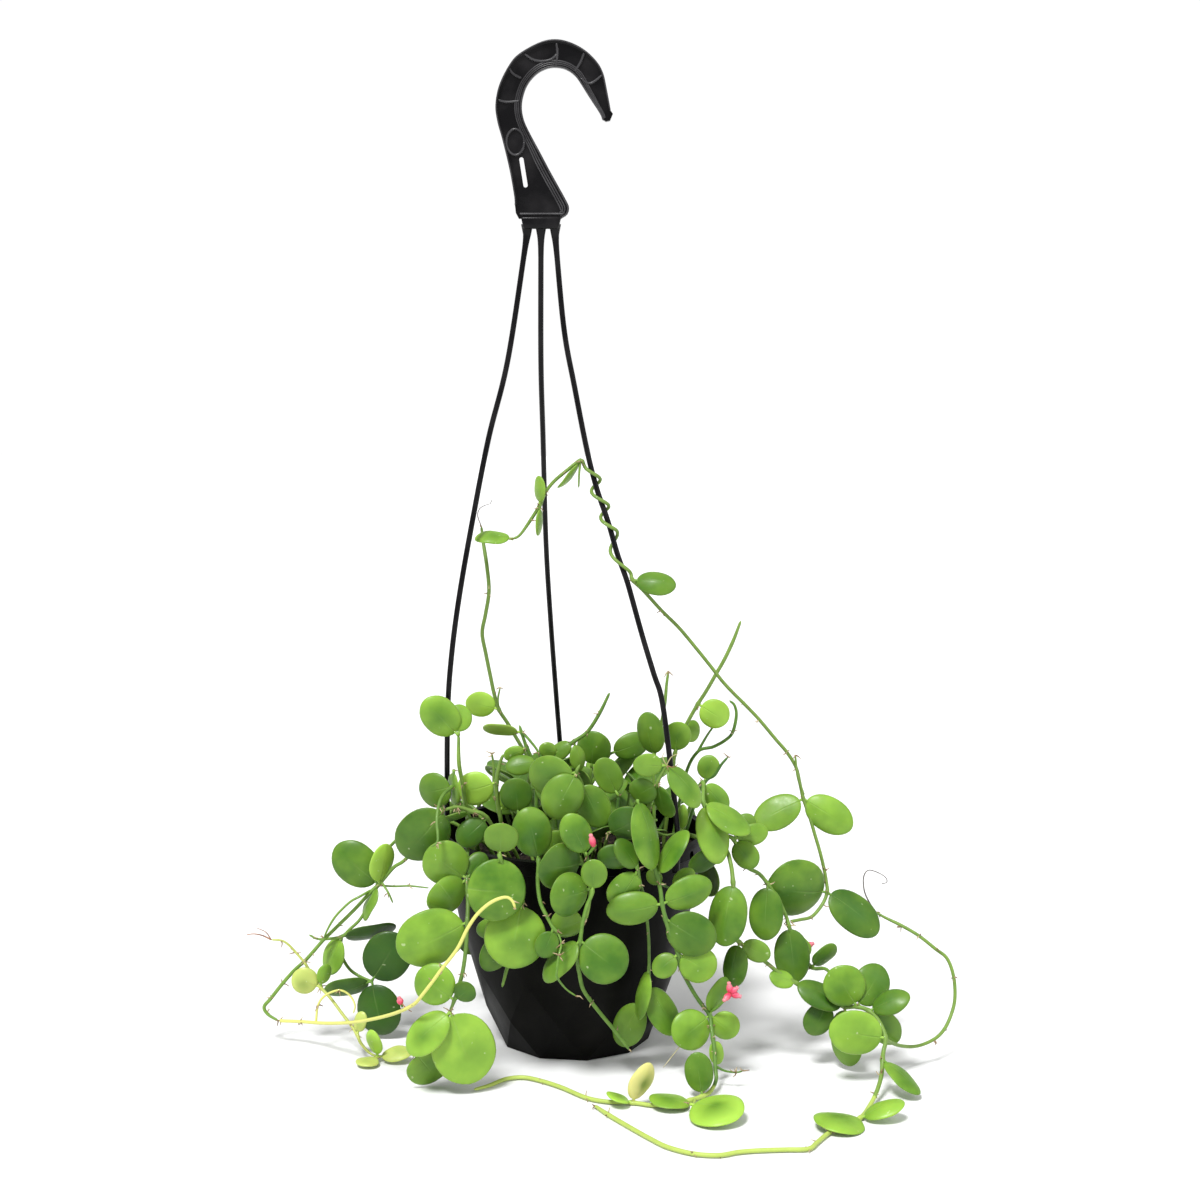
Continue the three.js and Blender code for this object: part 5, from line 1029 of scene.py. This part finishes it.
def is_free(points):
    """Whether all points are free of the ground, the pot and the soil."""
    x, y, z = points.T
    radius = np.hypot(x, y)
    in_rim = (radius < RIM_RADIUS - WALL - WALL_CLEAR) & (z > SOIL_TOP + SOIL_CROWN + WALL_CLEAR)
    wall = np.interp(z, [height for _, height in POT_OUTSIDE], [reach for reach, _ in POT_OUTSIDE])
    return np.all((z > 1) & ((z > RIM_TOP + WALL_CLEAR) | in_rim | (radius > wall + WALL_CLEAR)))


def is_clear(blade, placed, rods, pass_own_stem):
    if not is_free(blade["surface"]):
        return False
    for other in placed:
        apart = np.linalg.norm(other["centre"] - blade["centre"])
        if apart > 0.6 * (other["length"] + blade["length"]):
            continue
        for one, two in ((other, blade), (blade, other)):
            near = meets(one, two["surface"], LEAF_CLEAR)
            if other["vine"] == blade["vine"]:
                near &= (far_from(blade["joint"], two["surface"]) > KIN_CLEAR)
                near &= (far_from(other["joint"], two["surface"]) > KIN_CLEAR)
            if near.any():
                return False
    for vine, radius, points, is_bud in rods:
        if vine == blade["vine"]:
            if pass_own_stem and not is_bud:
                continue
            points = points[far_from(blade["joint"], points) > NODE_CLEAR]
        if len(points) and meets(blade, points, radius + STEM_CLEAR).any():
            return False
    return True


def place_leaf(leaf, placed, rods):
    """The first clear try of a leaf, or nothing."""
    dome = LEAF_DOME * (1 + 0.5 * next(pull))
    lean, roll = math.radians(JITTER * next(pull)), math.radians(JITTER * next(pull))
    along, face = turn_blade(leaf["along"], leaf["face"], lean, roll, 0)
    near = []
    for vine, radius, points, is_bud in rods:
        points = points[far_from(leaf["joint"], points) < leaf["length"] + COIL_RADIUS]
        if len(points):
            near.append((vine, radius, points, is_bud))
    for share, turn, pass_own_stem in TRIES:
        for i in range(24 if turn else 1):
            way, spin = math.radians(45 * (i % 8)), math.radians(turn / 2) * (0, 1, -1)[i // 8]
            more, over = math.radians(turn) * math.cos(way), math.radians(turn) * math.sin(way)
            blade = blade_of(leaf, *turn_blade(along, face, more, over, spin), dome, share)
            if is_clear(blade, placed, near, pass_own_stem):
                return blade
    return None


vines = [*map(read_vine, VINES), *(hanging_vine(i, *row) for i, row in enumerate(HANGING)),
         *(tuft(i, *row) for i, row in enumerate(TUFTS))]
rods = [(vine["name"], stem["radius"], stem_line(stem), False) for vine in vines for stem in vine["stems"]]
rods.extend((side, ARM_RADIUS, np.array(arm_line(side)), False) for side in ARM_ANGLES)
rods.extend((buds["on"], 2, np.array([seen(*point) for point in [*buds["stalk"], *buds["tips"]]]), True)
            for buds in BUDS)
blades = []
for leaf in sorted((dict(leaf, vine=vine["name"]) for vine in vines for leaf in vine["leaves"]),
                   key=lambda leaf: leaf["joint"][1]):
    blade = place_leaf(leaf, blades, rods)
    if blade:
        blades.append(blade)

# Leaf blades: thick, nearly round and leathery, with a small point at the tip and a rounded edge. Each
# is slightly domed and folded along its midrib, and stands on a short stalk at a joint of the stem.
BLADE_ROWS = (1 - np.cos(np.linspace(0, math.pi, 17))) / 2
BLADE_ACROSS = np.array([-1, -0.95, -0.8, -0.52, -0.16, 0, 0.16, 0.52, 0.8, 0.95, 1])
BLADE_HALF = 0.62
STALK = 2.2
# Leaves that stand out in colour, by their tips: how young, how deep and how yellow each one is. Most of the
# deep shares are painted shade: leaves that sit in shadow behind or under others are drawn darker.
LEAF_TINTS = {
    (0.8, 0, 0): {(-61.5, 200), (-67, 144.5), (97, -49), (88, 187), (-112, 116.5), (18, -40)},
    (0.4, 0, 0): {(149, 5), (80.5, 103.5), (-40, 165), (-55, -29), (-96, -11), (194, -42), (145, -56),
                  (45.5, -41), (85.5, -18)},
    (0.2, 0, 0): {(-85, 200), (-65, 196.5), (60, 188), (73.5, 180), (-147.5, 37), (-144, 43), (82, 36),
                  (-91, 37), (-102, 51), (-38, 42)},
    (0.5, 0, 0.4): {(-164, 36), (-95, -12), (-126, -17), (-123, 14)},
    (0.3, 0, 0.1): {(-52, 183)},
    (0, 0.15, 0): {(42.5, 100), (61.5, 124), (-4, 132.5), (-47, 69), (202, -37)},
    (0, 0.85, 0): {(-104, 50), (-101, 60), (-110, 1)},
    (0, 0.55, 0): {(-99, 106), (-34, 154), (-51, 108), (66, 101), (90, 29), (-17.5, 105), (-146, 24.5),
                   (-59, 31), (-67, 116), (24.5, 117), (11, 108), (138, 0), (38.5, 136.5), (128.5, 32.5),
                   (-53, 41), (175, 61), (131, 31)},
    (0, 0.35, 0): {(46.5, 125.5), (33.5, 141), (117, 93), (-19, 47), (29, 38), (-27, 136), (-15, 84)},
    (0.2, 0, 0.8): {(42, -16)},
}
# Leaves that are broader than they are long, and folded across.
CROSS_TIPS = {(-47, 69), (-84, 78)}


def blade_half_width(t):
    """Half of a blade's width at a part of its length, as a part of its width."""
    before = t < 0.52
    off = np.abs(t - 0.52) / np.where(before, 0.52, 0.48)
    return 0.5 * np.sqrt(1 - off ** np.where(before, 2.2, 2.05))


def blade_points(length, width, dome, fold, curl, ripple, turn, crosswise=False):
    """Points of a blade as (along, side, face) in millimetres, the upper side before the under side."""
    t, s = np.meshgrid(BLADE_ROWS, BLADE_ACROSS, indexing="ij")
    u = STALK + (length - STALK) * (t + 0.012 * np.clip((t - 0.9) / 0.1, 0, 1) ** 2)
    v = width * blade_half_width(t) * s
    past_centre = u - BLADE_CENTRE * length
    reach = np.hypot(past_centre / ((1 - BLADE_CENTRE) * length), 2 * v / width)
    rise = dome * (1 - np.minimum(reach, 1.05) ** 2) + fold * np.abs(past_centre if crosswise else v)
    rise -= curl * length * np.clip(u / length - 0.55, 0, 1) ** 2
    rise += ripple * np.sin(3 * np.arctan2(v, past_centre) + turn) * reach**2
    thick = BLADE_HALF * np.sqrt((1 - np.abs(s) ** 7) * (1 - np.abs(2 * t - 1) ** 12))
    return np.vstack([np.stack([u, v, rise + way * thick], -1).reshape(-1, 3) for way in (1, -1)])


# The blade's faces, the same for every leaf: its two sides meet all round the edge, and its first and
# last rows are a single point each.
across = len(BLADE_ACROSS)
under = len(BLADE_ROWS) * across
_, blade_kept, blade_same = np.unique(np.round(blade_points(25, 23, 1.5, 0.1, 0, 0, 0), 6), axis=0,
                                      return_index=True, return_inverse=True)
blade_same = blade_same.reshape(-1)
blade_faces = []
for i in range(len(BLADE_ROWS) - 1):
    for j in range(across - 1):
        a = i * across + j
        for face in ([a, a + across, a + across + 1, a + 1],
                     [under + a + 1, under + a + across + 1, under + a + across, under + a]):
            blade_faces.append(list(dict.fromkeys(int(blade_same[k]) for k in face)))
t, s = np.meshgrid(BLADE_ROWS, BLADE_ACROSS * 0.5 + 0.5, indexing="ij")
blade_places = np.vstack([np.stack([t, s, t * 0 + way], -1).reshape(-1, 3) for way in (1, -1)])[blade_kept]

leaf_skin, shader = finish("leaf_skin", (0.13, 0.3, 0.045), 0.4, Specular_IOR_Level=0.28,
                           Subsurface_Weight=0.06, Subsurface_Scale=0.002, Coat_Weight=0.06,
                           Coat_Roughness=0.25)


def blend(material, share, under_color, over_color):
    """One colour laid over another by a share."""
    mix = node(material, "MixRGB", {"Fac": share, "Color1": under_color, "Color2": (*over_color, 1)})
    return mix.outputs["Color"]


def tinted(material, green, young, deep_and_shade, yellow):
    """A green with three colours laid over it, by the tint that the piece's points hold."""
    held = node(material, "Attribute", attribute_name="tint").outputs["Color"]
    shares = node(material, "SeparateColor", {"Color": held})
    for part, color in (("Red", young), ("Green", deep_and_shade), ("Blue", yellow)):
        green = blend(material, shares.outputs[part], green, color)
    return green


def own_place(material):
    """The place on its leaf or bud that each point of a piece holds, as X, Y and Z."""
    held = node(material, "Attribute", attribute_name="place").outputs["Vector"]
    return node(material, "SeparateXYZ", {"Vector": held}).outputs


def formula(material, operation, *values):
    """What a sum, a product or another operation makes of values."""
    made = node(material, "Math", operation=operation)
    for socket, value in zip(made.inputs, values):
        if isinstance(value, bpy.types.NodeSocket):
            material.node_tree.links.new(value, socket)
        else:
            socket.default_value = value
    return made.outputs[0]


cloudy = grain(leaf_skin, 60, 3)
fine = grain(leaf_skin, 420, 4)
green = tones(leaf_skin, cloudy, (0.32, (0.065, 0.175, 0.01)), (0.68, (0.19, 0.36, 0.03)))
green = tinted(leaf_skin, green, (0.36, 0.6, 0.07), (0.01, 0.05, 0.005), (0.78, 0.7, 0.26))
spot = own_place(leaf_skin)
# Painted shade: each blade is drawn darker toward its middle, as the hollow of a cupped leaf is shaded, in
# patches that a coarse noise breaks up.
flat_spot = node(leaf_skin, "CombineXYZ", {"X": spot["X"], "Y": spot["Y"]}).outputs["Vector"]
from_middle = node(leaf_skin, "VectorMath", {0: flat_spot, 1: (0.5, 0.5, 0)}, operation="DISTANCE")
shade = formula(leaf_skin, "MULTIPLY", spread(leaf_skin, from_middle.outputs["Value"], 0.05, 0.45, 0.9, 0),
                spread(leaf_skin, grain(leaf_skin, 45, 2), 0.35, 0.65, 0, 0.8))
from_rib = formula(leaf_skin, "ABSOLUTE", formula(leaf_skin, "SUBTRACT", spot["Y"], 0.5))
rib = formula(leaf_skin, "MULTIPLY", spread(leaf_skin, from_rib, 0.002, 0.026, 1, 0),
              spread(leaf_skin, spot["X"], 0.1, 0.7, 1, 0))
pale_rib = formula(leaf_skin, "MULTIPLY", rib, 0.15)
specks = spread(leaf_skin, grain(leaf_skin, 330, 1), 0.75, 0.79, 0, 0.4)
edge = spread(leaf_skin, from_rib, 0.485, 0.5, 0, 0.4)
under_side = spread(leaf_skin, spot["Z"], 0, -0.3, 0, 0.35)
# Over the green go the painted shade toward the middle, then the leaf's own pale rib, specks, edge and under
# side.
for share, color in ((shade, (0.04, 0.13, 0.01)), (pale_rib, (0.36, 0.52, 0.16)), (specks, (0.6, 0.68, 0.4)),
                     (edge, (0.36, 0.52, 0.12)), (under_side, (0.25, 0.38, 0.13))):
    green = blend(leaf_skin, share, green, color)
feed(leaf_skin, shader, Base_Color=green, Roughness=spread(leaf_skin, fine, 0.3, 0.7, 0.32, 0.5))
height = formula(leaf_skin, "ADD", formula(leaf_skin, "MULTIPLY", fine, 0.25),
                 formula(leaf_skin, "SUBTRACT", formula(leaf_skin, "MULTIPLY", cloudy, 1.2), rib))
relief(leaf_skin, shader, height, 0.2)

# Stems: thin green rods, thicker at their joints, yellow where they run over the ground, with dry brown
# stubs of roots and scales at the joints.
STEM_SWELLING = 0.28
# The shares of a stem's radius as (way to its end, share), then how likely a bare and a leafy joint is to
# have stubs, and how far they reach.
STEM_TAPER = [(0, 0.25), (0.7, 0.62), (1.5, 0.72), (14, 1)]
STUB_CHANCES = (0.45, 0.7)
STUB_REACH = (1.8, 4.4)
stem_skin, shader = finish("stem_skin", (0.16, 0.34, 0.06), 0.5, Specular_IOR_Level=0.35, Coat_Weight=0.05)
green = tones(stem_skin, grain(stem_skin, 260, 4), (0.3, (0.075, 0.2, 0.02)), (0.72, (0.17, 0.33, 0.045)))
green = tinted(stem_skin, green, (0.38, 0.6, 0.09), (0.03, 0.1, 0.015), (0.76, 0.72, 0.2))
feed(stem_skin, shader, Base_Color=green)
relief(stem_skin, shader, grain(stem_skin, 500, 3), 0.15)
dry_root = mottled("dry_root", (0.3, 0.2, 0.1), 0.8, (330, 3),
                   [(0.35, (0.16, 0.08, 0.035)), (0.68, (0.56, 0.46, 0.27))], (900, 3, 0.1))

lot = np.random.default_rng(23)
twigs = np.random.default_rng(31)


def stub(at, reach):
    """A short dry root or scale that stands out from a joint."""
    way = unit(twigs.normal(size=3) + [0, -0.4, -0.3])
    bent = unit(way + 0.7 * unit(twigs.normal(size=3)))
    course = [at, at + way * 0.5 * reach, at + way * 0.55 * reach + bent * 0.5 * reach]
    points, faces = tube(course, [0.5, 0.36, 0.18], 5)
    return above_ground(points), faces


def above_ground(points):
    """Points with those near the ground or under it raised to lie on it."""
    low = points[:, 2] < 1
    points[low, 2] = 0.3 + 0.7 * np.exp((points[low, 2] - 1) / 0.7)
    return points


def store(piece, name, kind, key, values):
    """Gives each point of a piece a value that its materials read."""
    held = piece.data.attributes.new(name, kind, "POINT")
    held.data.foreach_set(key, np.array(values, np.float32).ravel())


def grown(vine):
    """A stem with all that grows from it, as one piece."""
    points, faces, kinds, tints, places = [], [], [], [], []

    def add(shape_points, shape_faces, kind, color, place=(0, 0.5, 1)):
        faces.extend([[index + len(points) for index in face] for face in shape_faces])
        kinds.extend([kind] * len(shape_faces))
        points.extend(shape_points)
        tints.extend([(*color, 1)] * len(shape_points))
        places.extend(np.broadcast_to(place, (len(shape_points), 3)))

    warm = vine["ripe"] or lot.uniform(0, 0.08)
    light, dim = lot.uniform(0, 0.2), 0 if vine["ripe"] else lot.uniform(0.1, 0.7)
    for stem in vine["stems"]:
        line = stem_line(stem, 1.2)
        radii = np.full(len(line), float(stem["radius"]))
        for joint, _ in (row for row in stem["joints"] if row[1]):
            radii += STEM_SWELLING * stem["radius"] * np.exp(-(far_from(joint, line) / 1.5) ** 2)
        to_end = np.cumsum(np.linalg.norm(np.diff(line, axis=0), axis=1)[::-1])[::-1]
        radii *= np.interp([*to_end, 0], *zip(*STEM_TAPER))
        on_ground = line[:, 2] < 4
        shape_points, shape_faces = tube(line, radii, 8)
        add(shape_points, shape_faces, 1, (light, dim, warm))
        ground_points = np.repeat([on_ground[0], *on_ground, on_ground[-1]], [1, *[8] * len(line), 1])
        for i in np.flatnonzero(ground_points):
            tints[len(tints) - len(shape_points) + i] = (0.5, 0, max(warm, 0.3), 1)
        for joint, count in stem["joints"]:
            if twigs.random() < STUB_CHANCES[count > 0]:
                for _ in range(twigs.integers(1, 5)):
                    add(*stub(joint, twigs.uniform(*STUB_REACH)), 2, (0, 0, 0))
    for blade in (blade for blade in blades if blade["vine"] == vine["name"]):
        crosswise = blade["tip"] in CROSS_TIPS
        shape = blade_points(blade["length"], blade["width"], blade["dome"], fold=lot.uniform(-0.09, 0.03),
                             curl=lot.uniform(-0.1, 0.3), ripple=lot.uniform(0.1, 0.45),
                             turn=lot.uniform(0, 6.28), crosswise=crosswise)[blade_kept]
        turned_to = np.array([blade["along"], blade["side"], blade["face"]])
        young = max(0, 0.12 + 0.5 * max(0, (24 - blade["length"]) / 14) + lot.uniform(-0.15, 0.18))
        # A random depth of tone, to which filler leaves and many listed leaves add painted shade.
        deep_and_shade, yellow = lot.uniform(0, 0.5), 0
        # Painted shade: the leaves that no view gives sit among the tufts in the soil and behind the pot, and
        # are drawn darker.
        if blade["tip"] is None:
            deep_and_shade += 0.25
        if vine["ripe"]:
            young, deep_and_shade = 0.8, 0
        for tinted, tips in LEAF_TINTS.items():
            if blade["tip"] in tips:
                young, deep_and_shade, yellow = tinted
        color = (young, deep_and_shade, yellow)
        places_now = blade_places[:, [1, 0, 2]] if crosswise else blade_places
        add(above_ground(blade["joint"] + shape @ turned_to), blade_faces, 0, color, places_now)
        along, side, face = turned_to
        stalk_end = blade["joint"] + along * (STALK + 1.6) + face * 0.1
        add(*tube([blade["joint"], blade["joint"] + along * STALK * 0.6, stalk_end], [0.95, 0.8, 0.55], 8), 1,
            (min(1, color[0] + 0.2), 0.5 * deep_and_shade, yellow))
    piece = place_mesh(f"leafy_{vine['name']}", np.array(points) * MM, faces,
                       [leaf_skin, stem_skin, dry_root])
    piece.data.polygons.foreach_set("material_index", kinds)
    store(piece, "tint", "FLOAT_COLOR", "color", tints)
    store(piece, "place", "FLOAT_VECTOR", "vector", places)
    return piece


for vine in vines:
    piece = grown(vine)
    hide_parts(vine["name"])
    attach(piece, "root")

# Buds: small pink urns on short green stalks, pinched under a mouth of five lobes.
URN = [(0.5, 0), (1.05, 0.06), (1.55, 0.2), (1.85, 0.4), (1.75, 0.58), (1.25, 0.75), (0.95, 0.84),
       (1.15, 0.92), (0.75, 1)]
URN_SIDES = 20
LOBES = 0.35 * np.cos(5 * np.linspace(0, 2 * math.pi, URN_SIDES, endpoint=False))[:, None]
petal, shader = finish("bud_petal", (0.75, 0.09, 0.16), 0.38, Subsurface_Weight=0.1, Subsurface_Scale=0.002)
rosy = tones(petal, own_place(petal)["X"], (0.05, (0.5, 0.08, 0.08)), (0.95, (0.8, 0.26, 0.3)),
             (0.4, (0.7, 0.045, 0.12)))
feed(petal, shader, Base_Color=blend(petal, spread(petal, grain(petal, 500), 0.4, 0.7, 0, 0.35), rosy,
                                     (0.55, 0.03, 0.1)))
relief(petal, shader, grain(petal, 900, 2), 0.12)
for buds in BUDS:
    stalk = [seen(*point) for point in buds["stalk"]]
    shapes = [tube(smooth_line(stalk, 1), 0.6, 8)]
    kinds = [1] * len(shapes[0][1])
    places = [np.zeros((len(shapes[0][0]), 3))]
    for tip in buds["tips"]:
        end = seen(*tip)
        parts = np.array([part for _, part in URN])
        radii = [radius for radius, _ in URN]
        points, faces = tube(stalk[-1] + np.outer(parts, end - stalk[-1]), radii, URN_SIDES)
        mouth = points[-URN_SIDES - 1:-1]
        mouth += LOBES * (mouth - end)
        shapes.append((points, faces))
        kinds.extend([0] * len(faces))
        places.append(np.stack([np.repeat([0, *parts, 1], [1, *[URN_SIDES] * len(parts), 1])] * 3, 1))
    points, faces = gather(shapes)
    piece = place_mesh(f"pink_{buds['name']}", points * MM, faces, [petal, stem_skin])
    piece.data.polygons.foreach_set("material_index", kinds)
    store(piece, "place", "FLOAT_VECTOR", "vector", np.vstack(places))
    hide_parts(buds["name"])
    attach(piece, "root")

# Dry threads: the fine curled ends of old stems and roots, grey, straw or brown.
THREADS = [
    ("grey", 0.35, [(-52, 299, 2), (-54, 305, 2), (-53, 309, 1), (-50, 311, 0), (-47, 312, -1),
                    (-46, 314, -2)]),
    ("grey", 0.5, [(175, 74, -8), (171, 80, -9), (168, 87, -10), (167.5, 95, -10), (170, 99, -11),
                    (175, 98, -12), (180, 95, -12), (181, 92, -11), (178, 91, -10)]),
    ("straw", 0.9, [(43.5, 14, -61), (48, 9, -61), (55, 3, -62), (61, -2, -64)]),
    ("straw", 0.3, [(61, -2, -64), (62, -6, -65), (58, -12, -66), (52, -20, -68)]),
    ("brown", 0.5, [(-176, 57.5, -12), (-181, 60, -12), (-186, 61, -12), (-190, 60.5, -12)]),
    ("brown", 0.4, [(-176, 57.5, -12), (-179, 62, -13), (-184, 64.5, -14)]),
    ("brown", 0.45, [(-102.4, 23, -97.5), (-99, 17, -98), (-95, 14, -98)]),
    ("straw", 0.35, [(53, 161, -72), (56, 166, -74), (60, 168, -76)]),
    ("straw", 0.35, [(53, 161, -72), (51, 166, -75), (52, 169, -78)]),
    ("brown", 0.35, [(53, 161, -72), (57, 160, -75), (60, 162, -78)]),
]
THREAD_COLORS = {"grey": ((0.08, 0.07, 0.07), (0.2, 0.18, 0.17)),
                 "straw": ((0.4, 0.36, 0.16), (0.66, 0.58, 0.34)),
                 "brown": ((0.13, 0.05, 0.025), (0.4, 0.2, 0.11))}
for look, (dark, pale) in THREAD_COLORS.items():
    thread = mottled(f"{look}_thread", dark, 0.75, (300, 3), [(0.35, dark), (0.65, pale)], (800, 3, 0.08))
    shapes = []
    for _, radius, course in (row for row in THREADS if row[0] == look):
        line = smooth_line([seen(*point) for point in course], 0.8)
        shapes.append(tube(line, np.linspace(radius, 0.5 * radius, len(line)), 6))
    points, faces = gather(shapes)
    piece = place_mesh(f"{look}_threads", points * MM, faces, [thread])
    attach(piece, "root")

# Studio: a pale floor that runs far back, and a surround that looks white and gives a weaker light. A far
# soft lamp shines from the front upper left and a weak, broader one from the front right. The camera
# stands at the viewer's eye.
FLOOR_SIZE = 8
SURROUND_LIGHT = 0.6
SURROUND_LOOK = 1.02
PITCH = 8.55
FOCAL = 2227
FRAME_PIXELS = 1200
bpy.ops.mesh.primitive_plane_add(size=FLOOR_SIZE, location=(0, 0, -0.2 * MM))
floor = bpy.context.object
floor.name = "pale_floor"
bpy.ops.object.transform_apply()
paper = mottled("pale_paper", (0.82, 0.82, 0.82), 0.7, (30, 3),
                [(0.3, (0.81, 0.81, 0.815)), (0.7, (0.83, 0.83, 0.83))], Specular_IOR_Level=0.2)
floor.data.materials.append(paper)
floor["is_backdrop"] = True

world = bpy.data.worlds.new("white_surround")
world.use_nodes = True
sky = world.node_tree.nodes["Background"]
sky.inputs["Color"].default_value = (1, 1, 1, 1)
is_view = node(world, "LightPath").outputs["Is Camera Ray"]
feed(world, sky, Strength=spread(world, is_view, 0, 1, SURROUND_LIGHT, SURROUND_LOOK))
scene = bpy.context.scene
scene.world = world
scene.view_settings.view_transform = "Standard"


def lamp(name, breadth, strength, at):
    """A far lamp, as broad in the sky as an angle in degrees, that shines from a place to the origin."""
    light = bpy.data.lights.new(name, "SUN")
    light.angle = math.radians(breadth)
    light.energy = strength
    holder = bpy.data.objects.new(name, light)
    holder.location = at
    holder.rotation_euler = Vector(at).to_track_quat("Z", "Y").to_euler()
    scene.collection.objects.link(holder)


lamp("key", breadth=14, strength=3.6, at=(-0.35, -0.75, 1.3))
lamp("fill", breadth=40, strength=0.5, at=(1.3, -0.9, 1.2))

view = bpy.data.cameras.new("photo_view")
view.sensor_width = 36
view.lens = FOCAL * view.sensor_width / FRAME_PIXELS
camera = bpy.data.objects.new("photo_view", view)
camera.location = EYE * MM
camera.rotation_euler = (math.radians(90 - PITCH), 0, 0)
scene.collection.objects.link(camera)
scene.camera = camera

boxes = [[list(map(float, corner)) for corner in box] for box in (cad_box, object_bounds())]
